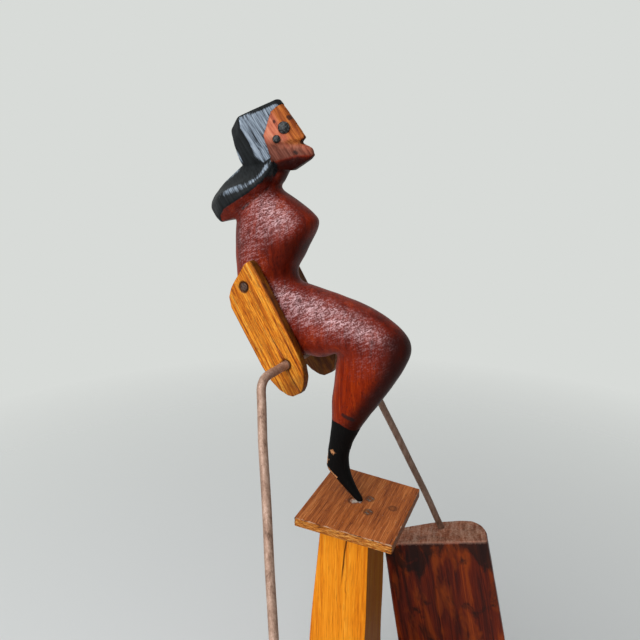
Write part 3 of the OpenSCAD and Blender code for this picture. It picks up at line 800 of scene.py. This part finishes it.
def figure():
    """The carving, sanded from its rough forms, with the values that its finish is painted by."""
    obj = figure_blank()
    mesh = obj.data
    surface = Surface(mesh)
    points = read_vectors(mesh.vertices, "co")

    # Sanding: the body flows, and the head keeps its knife edges
    x, _, z = points.T
    share = np.where(z > NECK, HEAD_SANDING, BODY_SANDING) * rise(0.5, 5, z)
    groin = rise(11, 5, np.hypot(x + 18, z - 67)) * rise(76, 72, z)
    points = surface.sanded(points, share, SANDING_ROUNDS)
    points = surface.sanded(points, BODY_SANDING * groin, GROIN_ROUNDS)
    mesh.vertices.foreach_set("co", np.ravel(points))
    mesh.update()
    normals = read_vectors(mesh.vertices, "normal")
    bend = surface.hollowness(points, normals, BEND_ROUNDS)
    x, _, z = points.T
    ahead, aside, upward = normals[:, 0], np.abs(normals[:, 1]), normals[:, 2]

    # Painted areas, with painted shade on the forehead's front and a painted sheen on the hair
    hair = np.minimum(follow(HAIRLINE, z) - x, 0.85 * (z - follow(FLARE_EDGE, x)))
    hair = np.where(z < 82, -3, hair)
    boot = follow(BOOT_TOP, x) - z
    above_jaw = z - follow(JAW_LINE, x)
    face = rise(-0.6, 0.6, above_jaw) * rise(-33, -30, x) * rise(-0.75, -0.4, upward)
    front = rise(-6, -1.5, x - follow(FACE_LINE, z)) * rise(103.4, 105, z)
    jaw = rise(107.8, 101.6, z + 0.12 * (x + 22))
    # Painted shade on the forehead's forward-facing front, kept with the dark painted marks
    rim = 0.7 * rise(0.72, 0.9, ahead) * rise(105, 106.5, z)
    marks = np.maximum(dabs(points, MARK_STROKES, MARK_SPOTS), rim)
    chips = dabs(points, CHIP_STROKES, CHIP_SPOTS)
    # Painted sheen on the black hair: on the head's side planes below the crown line, and along the flare's
    # ridges
    rubbed = rise(0.72, 0.86, aside) * rise(98.5, 101, z) * rise(-0.08, 0.16, ahead)
    rubbed = rubbed * (1 - rise(1.9, 0.8, follow(CROWN_LINE, x) - z) * rise(-35, -31, x))
    ridge = rise(0.05, 0.18, -bend) * window(z, 89, 91, 101, 104)
    ridge = surface.smoothed(ridge, RIDGE_ROUNDS) * rise(-46, -38, x) * rise(0.9, 1.9, hair)
    rubbed = np.maximum(rubbed, 1.7 * ridge)

    # Stain: orange behind the calf and low on the back. Painted shade: dark in creases, along the shin and
    # knee, on the belly, on surfaces facing down and under the jaw
    calf = rise(8, -3, x - 0.35 * (z - 30)) * rise(52, 42, z)
    waist = rise(-21, -30, x) * window(z, 62, 68, 74, 80)
    knee = rise(-8.5, -1.5, x - follow(SHIN_LINE, z)) * rise(61, 54, z)
    belly = rise(-26, -18, x) * window(z, 64, 70, 77, 83)
    under = np.maximum(rise(-0.15, -0.6, upward), rise(0.4, -0.8, above_jaw) * rise(-27, -24, x))
    under = under * rise(92, 96, z)
    shade = np.max([rise(0.08, 0.3, bend), 0.95 * knee, 0.75 * belly, 0.9 * under], axis=0)

    # Painted sheen, with extra gloss, on the chest, thigh and flank
    sheen = np.stack([ahead, aside, upward], 1) @ SHEEN
    polish = rise(0.80, 1.0, sheen) * (1 - 0.7 * shade) * window(z, 38, 47, 94, 97)
    flank = rise(0.75, 0.97, aside) * rise(-25, -31, x) * window(z, 67, 73, 84, 90)
    polish = surface.smoothed(np.maximum(polish, 0.55 * flank), SHEEN_GLOSS_ROUNDS)

    # Knife work: gentle unevenness on the body, and hair that stands a little above the face
    lift = 0.10 * grain_noise(points, 4.5, 3.0) * rise(6, 16, z)
    lift += 0.18 * rise(-0.3, 0.3, hair) - 0.14 * rise(0.0, 0.4, chips)
    points = points + normals * lift[:, None]
    mesh.vertices.foreach_set("co", np.ravel(to_row(points)))
    put_values(mesh, points, {
        "hair": hair, "boot": boot, "face": face, "front": front, "jaw": jaw, "mark": marks, "chip": chips,
        "rubbed": rubbed, "amber": np.maximum(calf, 0.75 * waist), "shade": shade, "polish": polish})
    mesh.materials.clear()
    mesh.materials.append(carving_finish())
    smooth_shaded(mesh)
    mesh.update()
    return show(obj, "balancer", "carving_wood", "figure")


# Hip slats
# Outline of a slat: distance from its upper end, back edge and front edge
SLAT_OUTLINE = [(0.0, 4.6, 6.5), (1.0, 2.4, 7.0), (2.4, -1.2, 7.1), (3.6, -3.8, 7.1), (5.6, -6.2, 7.1),
                (8.6, -7.3, 7.1), (20.0, -7.2, 7.1), (28.0, -7.15, 6.8), (33.0, -6.5, 6.2),
                (36.4, -5.2, 4.8), (38.6, -3.4, 2.9), (39.6, -1.9, 1.4)]


def on_slat(across, down, out):
    """Places on a slat, from distances across it, down from its upper end and out from the middle."""
    c, s = math.cos(SLAT_TILT), math.sin(SLAT_TILT)
    wide, up = across - SLAT_HOLE_OFF, SLAT_HOLE_IN - down
    return np.stack([HOLE[0] + wide * c - up * s, out, HOLE[2] + wide * s + up * c], -1)


def crack(across, middle, half):
    """Falls from 1 in the middle of a crack to 0 at its sides."""
    return np.clip(1 - np.abs(across - middle) / half, 0, 1)


def slat(name, side, node, material):
    """Thin board on one hip, its outline whittled round at both ends and split at the wire."""
    size = np.array([SLAT_WIDE, SLAT_THICK, SLAT_LONG])
    points, faces = block(size, *SLAT_BLOCK)
    down = SLAT_LONG / 2 - points[:, 2]
    far, back, front = np.array(SLAT_OUTLINE).T
    low, high = np.interp(down, far, back), np.interp(down, far, front)
    across = (points[:, 0] / size[0] + 0.5) * (high - low) + low
    flat = np.column_stack([across, points[:, 1:]])
    outward = -points[:, 1]

    # Splits along the grain at the wire hole, a dent round the nail, and the sawn surface
    wander = SLAT_HOLE_OFF + 0.35 * np.sin(down * 0.5) - 0.02 * (down - SLAT_HOLE_IN)
    split = crack(across, wander, 0.42) * rise(15.5, 22, down)
    second = crack(across, 0.2 * np.sin(down * 0.4) - 2.3, 0.35) * window(down, 17, 26, 33, 38)
    ring = np.hypot(across - SLAT_HOLE_OFF, down - SLAT_HOLE_IN)
    nail = np.hypot(across - SLAT_NAIL_OFF, down - SLAT_NAIL_IN)
    cut = 0.42 * split + 0.25 * second + 0.3 * rise(2.3, 1.4, ring) + 0.45 * rise(1.9, 1.35, nail)
    flat[:, 1] += np.where(outward > SLAT_THICK / 2 - 0.35, cut, 0)
    flat += 0.07 * grain_noise(flat * (1, 1, 0.12), 1.2, 2.0 + side)[:, None] * block_normals(size, points)

    # Painted shade on the sawn sides, on the inner face toward the hip and at both ends, most at the lower
    # end; darker toward the outline's edges and near the upper back corner; dark splits, wire hole and nail
    # ring
    sawn = np.abs(outward) < SLAT_THICK / 2 - 0.3
    inner = outward < 0.3 - SLAT_THICK / 2
    edge = np.clip(1 - np.minimum(across - low, high - across) / 1.1, 0, 1)
    ends = np.maximum(rise(2.2, 0.2, down), 1.3 * rise(29, 37, down))
    soot = np.max([0.75 * sawn, 0.8 * inner, 0.58 * edge, split, 0.8 * second, 0.4 * ends,
                   0.42 * rise(9, 3, down) * rise(1, -5, across),
                   0.9 * rise(2.6, 1.3, ring), 0.9 * rise(2.3, 1.5, nail)], axis=0)
    placed = on_slat(flat[:, 0], down, flat[:, 1] - HIP_HALF - SLAT_THICK / 2)
    if side > 0:
        placed[:, 1] *= -1
        faces = [face[::-1] for face in faces]
    local = flat + (0, 0, SLAT_APART * side)
    obj = mesh_object(name, to_row(placed), faces, local, material, soot=soot)
    return show(obj, "balancer", "slat_wood", node)


# Shapes grown by node trees
TREE_NODES = {"in": ("NodeGroupInput",), "out": ("NodeGroupOutput",),
              "real": ("GeometryNodeRealizeInstances",), "finish": ("GeometryNodeSetMaterial",)}
TREE_END = [("real.Geometry", "finish.Geometry"), ("in.Finish", "finish.Material"),
            ("finish.Geometry", "out.Geometry")]


def node_tree(name, inputs, kinds, links):
    """A geometry tree from inputs, nodes and links, which ends in real geometry with a finish."""
    tree = bpy.data.node_groups.new(name, "GeometryNodeTree")
    add, names, nodes = tree.interface.new_socket, {}, {}
    for key, kind in {"Geometry": "Geometry", **inputs, "Finish": "Material"}.items():
        names[key] = add(name=key, in_out="INPUT", socket_type=f"NodeSocket{kind}").identifier
    add(name="Geometry", in_out="OUTPUT", socket_type="NodeSocketGeometry")
    for key, (kind, *settings) in {**TREE_NODES, **kinds}.items():
        nodes[key] = tree.nodes.new(kind)
        for setting, value in settings:
            setattr(nodes[key], setting, value)
    for start, end in links + TREE_END:
        (giver, output), (taker, socket) = start.split("."), end.split(".")
        tree.links.new(nodes[giver].outputs[output], nodes[taker].inputs[socket])
    return tree, names, nodes


def grow(obj, tree, names, **inputs):
    """Runs a node tree on the object and keeps the result as a plain mesh."""
    modifier = obj.modifiers.new(tree.name, "NODES")
    modifier.node_group = tree
    for key, value in inputs.items():
        modifier[names[key]] = value
    return baked(obj)


# Wire
def wire_tree():
    """Sweeps a round section along a curve."""
    tree, names, nodes = node_tree("drawn_wire", {"Radius": "Float", "Sides": "Int"}, {
        "circle": ("GeometryNodeCurvePrimitiveCircle",), "sweep": ("GeometryNodeCurveToMesh",),
        "smooth": ("GeometryNodeSetShadeSmooth",)
    }, [("in.Radius", "circle.Radius"), ("in.Sides", "circle.Resolution"), ("in.Geometry", "sweep.Curve"),
        ("circle.Curve", "sweep.Profile Curve"), ("sweep.Mesh", "smooth.Geometry"),
        ("smooth.Geometry", "real.Geometry")])
    nodes["sweep"].inputs["Fill Caps"].default_value = True
    return tree, names


def wire_half(word):
    """Middle line of one half of the wire, as on the right side, from the figure's middle to its end."""
    reach = WIRE_REACH[word]
    corner = HOLE - (0, reach, 0)
    run = WIRE_END * (1, -1, 1) + (WIRE_SET[word], 0, 0) - corner
    long = np.linalg.norm(run)
    down = run / long
    across = np.array([0.0, -1.0, 0.0])
    bend = math.acos(down @ across)
    inward = (down - math.cos(bend) * across) / math.sin(bend)
    outward = (across - math.cos(bend) * down) / math.sin(bend)
    tangent = WIRE_BEND * math.tan(bend / 2)
    half = [HOLE + across * t for t in np.linspace(0, reach - tangent, WIRE_BEND_STEPS)[:-1]]
    for a in np.linspace(0, bend, WIRE_BEND_STEPS):
        half.append(corner - tangent * across
                    + WIRE_BEND * (math.sin(a) * across + (1 - math.cos(a)) * inward))
    for t in np.linspace(tangent, long + WIRE_GRIP, WIRE_RUN_STEPS)[1:]:
        free = window(t, tangent, tangent + WIRE_EASE, long - WIRE_EASE, long)
        sway = 0.35 * math.sin(t * 0.075) + 0.16 * math.sin(t * 0.21 + 1)
        half.append(corner + down * t + (inward * sway + outward * WIRE_BOW) * free)
    return np.array(half)


def wire_path():
    """Middle line of the wire from the left weight to the right one."""
    right, left = wire_half("right"), wire_half("left")
    return np.vstack([left[:0:-1] * (1, -1, 1), right])


def balance_wire(material):
    path = to_row(wire_path())
    curve = bpy.data.curves.new("balance_wire", "CURVE")
    curve.dimensions = "3D"
    spline = curve.splines.new("POLY")
    spline.points.add(len(path) - 1)
    for point, place in zip(spline.points, path):
        point.co = (*place, 1)
    obj = bpy.data.objects.new("bent_wire", curve)
    bpy.context.collection.objects.link(obj)
    wire = grow(obj, *wire_tree(), Radius=WIRE_RADIUS * MM, Sides=WIRE_SIDES, Finish=material)
    return show(wire, "balancer", "old_wire", "balance_wire")


# Nails and tacks
def stud_tree():
    """Sets a copy of a turned shape on every point, facing the way that the point says."""
    tree, names, nodes = node_tree("driven_studs", {"Shape": "Object"}, {
        "shape": ("GeometryNodeObjectInfo",), "stand": ("GeometryNodeInstanceOnPoints",),
        "facing": ("GeometryNodeInputNamedAttribute", ("data_type", "FLOAT_VECTOR")),
        "align": ("FunctionNodeAlignRotationToVector", ("axis", "Z"))
    }, [("in.Shape", "shape.Object"), ("facing.Attribute", "align.Vector"), ("in.Geometry", "stand.Points"),
        ("shape.Geometry", "stand.Instance"), ("align.Rotation", "stand.Rotation"),
        ("stand.Instances", "real.Geometry")])
    nodes["facing"].inputs["Name"].default_value = "facing"
    return tree, names


STUD_TREE = stud_tree()


def turned_shape(profile, dents, n=32):
    """Turned shape about Z from radius and height pairs, with a few hammer dents, in metres."""
    angles = np.linspace(0, 2 * np.pi, n, endpoint=False)
    points, faces = loft([[(r * math.cos(a), r * math.sin(a), z) for a in angles] for r, z in profile])
    points = points + dents * grain_noise(points, 0.7, 5.0)[:, None] * (0.5, 0.5, 1)
    return mesh_object("turned_shape", points * MM, faces)


def studs(name, places, facings, profile, dents, material, body, slot, *nodes):
    points = mesh_object(name, places, [])
    facing = points.data.attributes.new("facing", "FLOAT_VECTOR", "POINT")
    facing.data.foreach_set("vector", np.ravel(facings))
    shape = turned_shape(profile, dents)
    made = grow(points, *STUD_TREE, Shape=shape, Finish=material)
    smooth_shaded(made.data)
    bpy.data.objects.remove(shape)
    return show(made, body, slot, *nodes)


def nail_profile(length, head):
    """Nail from its point up to a slightly domed head whose top is at zero."""
    return [(0.1, -length), (0.58, 1.8 - length), (0.58, -0.75), (0.8 * head, -0.55), (head - 0.02, -0.42),
            (head, -0.16), (0.9 * head, -0.02), (0.57 * head, 0.0), (0.2 * head, -0.04)]


def tack_profile(radius):
    """Tack with a domed head on a short shank."""
    return [(0.3, -2.1), (0.42, -1.9), (0.42, -0.1), (radius, -0.1), (radius, 0.25), (0.86 * radius, 0.5),
            (0.6 * radius, 0.66), (0.25 * radius, 0.7)]


def nails_and_tacks():
    dark = nail_finish("dark_nail", (28, 20, 17), (98, 72, 58), 0.42)
    grey = nail_finish("grey_nail", (54, 44, 38), (138, 120, 106), 0.5)
    tack = tack_finish()
    heads = [(x * MM, y * MM, TOE[2] * MM) for x, y in PLATFORM_NAILS]
    studs("platform_nails_driven", heads, [(0, 0, 1)] * len(heads), nail_profile(*PLATFORM_NAIL),
          PLATFORM_NAIL_DENTS, grey, "stand", "dark_steel", "platform_nails")
    for side, word in SIDES:
        place = on_slat(SLAT_NAIL_OFF, SLAT_NAIL_IN, side * (HIP_HALF + SLAT_THICK))
        studs(f"{word}_hip_nail_driven", [to_row(place)], [direction_to_row((0, side, 0))],
              nail_profile(*HIP_NAIL), HIP_NAIL_DENTS, dark, "balancer", "dark_steel", f"{word}_hip_nail")
    for name, place, radius, node in (("eyes", EYE, EYE_RADIUS, "eye_tacks"),
                                      ("ears", EAR, EAR_RADIUS, "ear_tacks")):
        places = [to_row(place * (1, -side, 1)) for side, _ in SIDES]
        facings = [direction_to_row((math.sin(CHEEK), side * math.cos(CHEEK), 0)) for side, _ in SIDES]
        studs(f"{name}_tacked", places, facings, tack_profile(radius), TACK_DENTS, tack,
              "balancer", "black_tack", node)


# Weights
# How far out the rounded side reaches along the block, as x and y, and how much longer each end is
WEIGHT_SIDE = [(-20.5, 1.8), (-12, 4.4), (-2, 7.0), (8, 7.75), (14, 7.2), (18.5, 4.4), (20.5, 1.4)]
WEIGHT_ENDS = (1.6, -0.9)


def weight_outline(step=0.9):
    """Outline of a weight seen from above, inner side toward -y, with its outward directions."""
    half, depth = WEIGHT_SIZE[0] / 2, WEIGHT_SIZE[1] / 2
    corners = [(half, -depth, WEIGHT_FRONT_ROUND, -90), (half, depth, WEIGHT_BACK_ROUND, 0),
               (-half, depth, WEIGHT_BACK_ROUND, 90), (-half, -depth, WEIGHT_FRONT_ROUND, 180)]
    points, normals = [], []

    def run_to(place, way):
        """Adds even steps along the straight run to a place."""
        run = place - points[-1]
        parts = int(np.linalg.norm(run) / step)
        for _ in range(1, parts):
            points.append(points[-1] + run / parts)
            normals.append(way)

    for x, y, radius, start in corners:
        centre = np.array([x - math.copysign(radius, x), y - math.copysign(radius, y)])
        for a in np.radians(np.linspace(start, start + 90, 2 + int(radius * 2))):
            way = np.array([math.cos(a), math.sin(a)])
            if points:
                run_to(centre + radius * way, way)
            points.append(centre + radius * way)
            normals.append(way)
    run_to(points[0], normals[-1])
    return np.array(points), np.array(normals)


def weight_rings(edge=1.3):
    """Rings of a weight from the middle of its underside over the sides to the middle of its top."""
    outline, way = weight_outline()
    half = WEIGHT_SIZE[2] / 2
    rings, normals = [], []

    def ring(inset, shrink, z, side):
        flat = (outline - inset * way) * shrink
        rings.append(np.column_stack([flat, np.full(len(flat), z)]))
        normals.append(np.column_stack([way * side, np.full(len(flat), math.copysign(1 - side, z))]))

    for shrink in (0.2, 0.45, 0.7, 0.86):
        ring(edge, shrink, -half, 0)
    for a in np.radians(np.linspace(0, 90, 5)):
        ring(edge * (1 - math.sin(a)), 1, edge * (1 - math.cos(a)) - half, math.sin(a))
    for z in np.linspace(edge - half, half - edge, 56)[1:-1]:
        ring(0, 1, z, 1)
    for a in np.radians(np.linspace(90, 0, 5)):
        ring(edge * (1 - math.sin(a)), 1, half - edge * (1 - math.cos(a)), math.sin(a))
    for shrink in np.linspace(0.95, 0.1, 14):
        ring(edge, shrink, half, 0)
    return np.array(rings), np.array(normals)


def weight(name, side, node, material):
    """Hand-cut block with a rounded outer side, leaning on the end of its wire."""
    rings, normals = weight_rings()
    points, faces = loft(rings)
    normals = np.vstack([normals.reshape(-1, 3), (0, 0, -1), (0, 0, 1)])
    x, y, z = points.T
    half = WEIGHT_SIZE / 2
    rough = 0.22 * grain_noise(points * (1, 1, 0.25), 6.0, 4.0 + side)
    rough += 0.08 * grain_noise(points * (1, 1, 0.2), 1.6, 9.0) - 0.28
    rough[normals[:, 2] < -0.5] = 0
    shaped = points + normals * rough[:, None]
    reach = follow(WEIGHT_SIDE, x)
    shaped[:, 1] = (shaped[:, 1] + half[1]) * (reach + half[1]) / WEIGHT_SIZE[1] - half[1]
    shaped[:, 0] *= 1 + np.where(x < 0, *WEIGHT_ENDS) / half[0]
    shaped[:, 0] *= 1 - WEIGHT_TAPER * z / half[2]
    top = rise(half[2] - 1.1, half[2] - 0.2, z)
    dust = top * (0.8 + 0.25 * grain_noise(points, 5.0, 2.0))
    rim = rise(half[2] - 2.2, half[2] - 0.4, z) * rise(2.6 - half[1], 0.2 - half[1], y)
    scorch = rise(half[2] - 16, half[2] - 3, z) * (1 - top)
    flat = (shaped - (0, WEIGHT_HOLE_SET, half[2])) * (1, -1, 1)
    yaw = np.array([[math.cos(WEIGHT_YAW), math.sin(WEIGHT_YAW), 0],
                    [-math.sin(WEIGHT_YAW), math.cos(WEIGHT_YAW), 0], [0, 0, 1]])
    c, s = math.cos(WEIGHT_LEAN), math.sin(WEIGHT_LEAN)
    tip = np.array([[c, 0, -s], [0, 1, 0], [s, 0, c]])
    placed = flat @ yaw.T @ tip.T + WIRE_END * (1, -1, 1) - (0, 0, WEIGHT_DROP)
    if side > 0:
        placed[:, 1] *= -1
    else:
        faces = [face[::-1] for face in faces]
    local = shaped + (0, 0, WEIGHT_APART * side)
    obj = mesh_object(name, to_row(placed), faces, local, material, dust=dust, rim=rim, scorch=scorch)
    return show(obj, "balancer", "weight_wood", node)


# Stand
# Check and curly figure on the post's front, from the middle of the post
CHECK_AT = 2.0
CHECK_TOP = 67.0
CHECK_LONG = 19.0
CHECK_LEAN = 0.09
CURL_AT = 1.5
CURL_LOW = 43.0
CURL_HIGH = 54.0
# Small knots on the post, as centre and radius
POST_KNOTS = [((2.6, -9, -8), 1.8), ((9.5, 0, -30), 2.0), ((-4, -9.6, -34), 1.4)]
# Marks on the platform: the worn dent beside the toe, and a small knot
DENT = (-1.8, -0.4)
KNOT = (10.1, 1.3)


def board(low, high, *fineness):
    """Block between two corners: its size, middle, points, faces and outward directions."""
    size = high - low
    points, faces = block(size, *fineness)
    return size, (high + low) / 2, points, faces, block_normals(size, points)


def post(material):
    """Tapered square post, slightly bowed, with planed sides and small knots."""
    size, middle, points, faces, normals = board(POST_LOW, POST_HIGH, *POST_BLOCK)
    up = points[:, 2] / size[2] + 0.5
    below = (1 - up) * size[2]
    shaped = points.copy()
    shaped[:, :2] *= (1 + (POST_TOP_WIDE / size[0] - 1) * up)[:, None]
    shaped += normals * (0.09 * grain_noise(shaped * (1, 1, 0.08), 1.8, 6.0) - 0.09)[:, None]
    shaped[:, 0] += 1.3 - 3.0 * rise(-14, 56, below) + 1.7 * rise(56, size[2], below)
    shaped[:, 0] += 1.3 * rise(-2, 6, points[:, 0]) * window(below, 0, 40, 60, 100)
    knots = np.clip(dabs(shaped, [], POST_KNOTS), -1, 1)
    # Painted shade: darker just under the platform and on the side facing +x, away from the lamps
    soot = np.maximum(0.6 * rise(2.2, 0.0, below), 0.62 * (normals[:, 0] > 0.5))
    obj = mesh_object("tapered_post", (shaped + middle) * MM, faces, shaped, material,
                      knot=knots, soot=soot, front=1.0 * (normals[:, 1] < -0.5))
    return show(obj, "stand", "post_wood", "post")


def platform(material):
    """Small board with torn fibres along its front edge and a worn dent beside the toe."""
    size, middle, points, faces, normals = board(PLATFORM_LOW, PLATFORM_HIGH, *PLATFORM_BLOCK)
    half = size / 2
    x, y, z = points.T
    level = np.abs(normals[:, 2]) > 0.5
    top = z > half[2] - 0.05
    rim = np.minimum(half[0] - np.abs(x), half[1] - np.abs(y))
    front, right = rise(1.2 - half[1], -half[1], y), rise(half[0] - 1.0, half[0], x)
    exposed = np.maximum(front, 0.6 * right)
    toe, dent, knot = (np.hypot(x - px, y - py) for px, py in ((0, 0), DENT, KNOT))

    # Ragged edge, out of square at the back, and the dents
    rag = grain_noise(points * (1, 1, 2.5), 1.5, 8.0) + 0.6 * grain_noise(points * (1, 1, 4), 0.6, 3.0)
    inset = 0.10 + 0.34 * front * np.clip(rag + 0.4, 0, 1.4) + 0.12 * right * np.clip(rag, 0, 1)
    chip = exposed * np.clip(rag - 0.1, 0, 1) * rise(1.4, 0.1, rim)
    sunk = 0.7 * chip + 0.25 * rise(0.9, 0.3, toe) + 0.22 * rise(1.7, 0.5, dent)
    shaped = points - normals * np.where(level, 0.0, inset)[:, None]
    shaped[:, 1] += (y / size[1] + 0.5) * (0.25 - 1.15 * x / half[0])
    shaped[:, 2] -= np.where(top, sunk, 0)

    # Torn and frayed fibres, dark marks, painted shade on the +x edge, and the worn dent
    torn = np.where(level, 0, 0.85 * front + 0.3) + 0.5 * chip + 0.3 * rise(0.7, 0.15, rim) * front
    fray = exposed * rise(1.3, 0.2, rim) * rise(half[2] - 0.7, half[2], z)
    marks = 0.62 * rise(1.8, 1.2, knot) - 0.2 * rise(1.0, 0.4, knot)
    marks += 0.8 * window(dent, 0.9, 1.6, 1.7, 2.5) * rise(0.6, -1.4, x - DENT[0])
    for px, py in PLATFORM_NAILS:
        marks += 0.6 * rise(2.0, 1.4, np.hypot(x - px, y - py))
    # Painted shade on the sides near +x, away from the lamps, added to the dark marks on the top
    soot = np.where(level, 0, 0.62 * right * (1 - front)) + marks * top
    worn = rise(1.7, 0.4, dent) * top
    local = shaped[:, (2, 0, 1)]
    obj = mesh_object("worn_platform", (shaped + middle) * MM, faces, local, material,
                      torn=torn, fray=fray, soot=soot, worn=worn)
    return show(obj, "stand", "platform_wood", "platform")


def base(material):
    """Square foot with eased edges."""
    size, middle, points, faces, normals = board(BASE_LOW, BASE_HIGH, *BASE_BLOCK)
    planed = 0.08 * grain_noise(points * (0.1, 1, 1), 3.0, 1.0) - 0.08
    shaped = points + normals * np.where(points[:, 2] < 0.1 - size[2] / 2, 0, planed)[:, None]
    depth = np.sort(size / 2 - np.abs(points), axis=1)
    local = shaped[:, ::-1]
    obj = mesh_object("square_base", (shaped + middle) * MM, faces, local, material,
                      worn=rise(2.4, 0.3, depth[:, 1]))
    return show(obj, "stand", "base_wood", "base")


def steel_pieces():
    """The screw and the pivot keep their solids and get a steel finish."""
    bare = nail_finish("bare_steel", (120, 116, 112), (176, 172, 168), 0.28)
    for node in ("base_screw", "pivot_point", "pivot_cap"):
        mesh = frame["nodes"][node].data
        mesh.materials.clear()
        mesh.materials.append(bare)


# Photograph's view: where the toe is in the frame, how far away, and how the camera is turned
IMAGE = 640
FOCAL_PIXELS = 560.18
VIEW_AZIMUTH = math.radians(24.38)
VIEW_PITCH = math.radians(17.29)
TOE_PIXEL = (359.98, 501.93)
TOE_DEPTH = 171.34
SENSOR = 36.0
CLIP_START = 0.005


def camera():
    sin_a, cos_a = math.sin(VIEW_AZIMUTH), math.cos(VIEW_AZIMUTH)
    sin_e, cos_e = math.sin(VIEW_PITCH), math.cos(VIEW_PITCH)
    right = Vector((cos_a, sin_a, 0))
    back = Vector((sin_a * cos_e, -cos_a * cos_e, sin_e))
    up = back.cross(right)
    per_pixel = TOE_DEPTH / FOCAL_PIXELS
    place = Vector(TOE) + back * TOE_DEPTH
    place -= right * (TOE_PIXEL[0] - IMAGE / 2) * per_pixel
    place += up * (TOE_PIXEL[1] - IMAGE / 2) * per_pixel
    data = bpy.data.cameras.new("photo_view")
    data.sensor_width = SENSOR
    data.lens = SENSOR * FOCAL_PIXELS / IMAGE
    data.clip_start = CLIP_START
    obj = bpy.data.objects.new("photo_view", data)
    obj.location = place * MM
    obj.rotation_euler = back.to_track_quat("Z", "Y").to_euler()
    bpy.context.collection.objects.link(obj)
    bpy.context.scene.camera = obj
    return obj


# Studio: screen colours of the surround and the floor, and how far out the floor goes and fades, in metres
PALE = (216, 219, 216)
FLOOR = (238, 240, 238)
FLOOR_REACH = 3.0
FLOOR_FADE = (0.10, 0.55)
# Lamps aimed at one place, in millimetres: place, size, power and colour
AIM = (-10, 0, 200)
LAMPS = {"window": ((-157, -691, 576), (900, 1000), 9.0, (0.97, 0.98, 1.0)),
         "ceiling": ((-60, -120, 1000), (500, 500), 1.7, (1.0, 0.99, 0.97))}
# Light from the surround itself
DIM_COLOR = (0.86, 0.92, 1.0, 1)
DIM_STRENGTH = 0.12


def soft_light(name, place, size, power, color):
    """Large lamp that points at the toy."""
    data = bpy.data.lights.new(name, "AREA")
    data.shape = "RECTANGLE"
    data.size, data.size_y = size[0] * MM, size[1] * MM
    data.energy = power
    data.color = color
    obj = bpy.data.objects.new(name, data)
    obj.location = Vector(place) * MM
    obj.rotation_euler = (Vector(place) - Vector(AIM)).to_track_quat("Z", "Y").to_euler()
    bpy.context.collection.objects.link(obj)


def pale_floor():
    """Floor that keeps the shadow near the toy and fades into the surround farther out."""
    paint = Paint("pale_floor")
    place = paint.node("ShaderNodeTexCoord", out="Object")
    away = paint.node("ShaderNodeVectorMath", {"operation": "LENGTH"}, {0: place}, out="Value")
    near, far = FLOOR_FADE
    material = paint.finish(FLOOR, 0.9, gloss=(0.1,), Alpha=away.step(far, near))
    corners = [(x * FLOOR_REACH, y * FLOOR_REACH, 0) for x, y in ((-1, -1), (1, -1), (1, 1), (-1, 1))]
    mesh_object("pale_floor", corners, [(0, 1, 2, 3)], None, material)


def surround():
    """Pale for the eye and for reflections, and dim as a light."""
    world = bpy.data.worlds.new("pale_surround")
    bpy.context.scene.world = world
    world.use_nodes = True
    add, link = world.node_tree.nodes.new, world.node_tree.links.new
    dim = world.node_tree.nodes["Background"]
    dim.inputs["Color"].default_value = DIM_COLOR
    dim.inputs["Strength"].default_value = DIM_STRENGTH
    pale = add("ShaderNodeBackground")
    pale.inputs["Color"].default_value = tint(*PALE)
    rays = add("ShaderNodeLightPath")
    seen = rays.outputs["Is Camera Ray"]
    for kind in ("Is Glossy Ray", "Is Transmission Ray"):
        either = add("ShaderNodeMath")
        either.operation = "MAXIMUM"
        link(seen, either.inputs[0])
        link(rays.outputs[kind], either.inputs[1])
        seen = either.outputs[0]
    mix = add("ShaderNodeMixShader")
    for place, socket in enumerate((seen, dim.outputs[0], pale.outputs[0])):
        link(socket, mix.inputs[place])
    link(mix.outputs[0], world.node_tree.nodes["World Output"].inputs["Surface"])


def studio():
    """Pale floor and surround, and soft light from the front and above."""
    pale_floor()
    surround()
    for name, settings in LAMPS.items():
        soft_light(name, *settings)
    bpy.context.scene.view_settings.view_transform = "Standard"


camera()
studio()
figure()
SLAT_FINISH = slat_finish()
WEIGHT_FINISH = weight_finish()
for SIDE, WORD in SIDES:
    slat(f"{WORD}_slat_board", SIDE, f"{WORD}_hip_slat", SLAT_FINISH)
    weight(f"{WORD}_weight_block", SIDE, f"{WORD}_weight", WEIGHT_FINISH)
balance_wire(wire_finish())
nails_and_tacks()
post(post_finish())
platform(platform_finish())
base(base_finish())
steel_pieces()
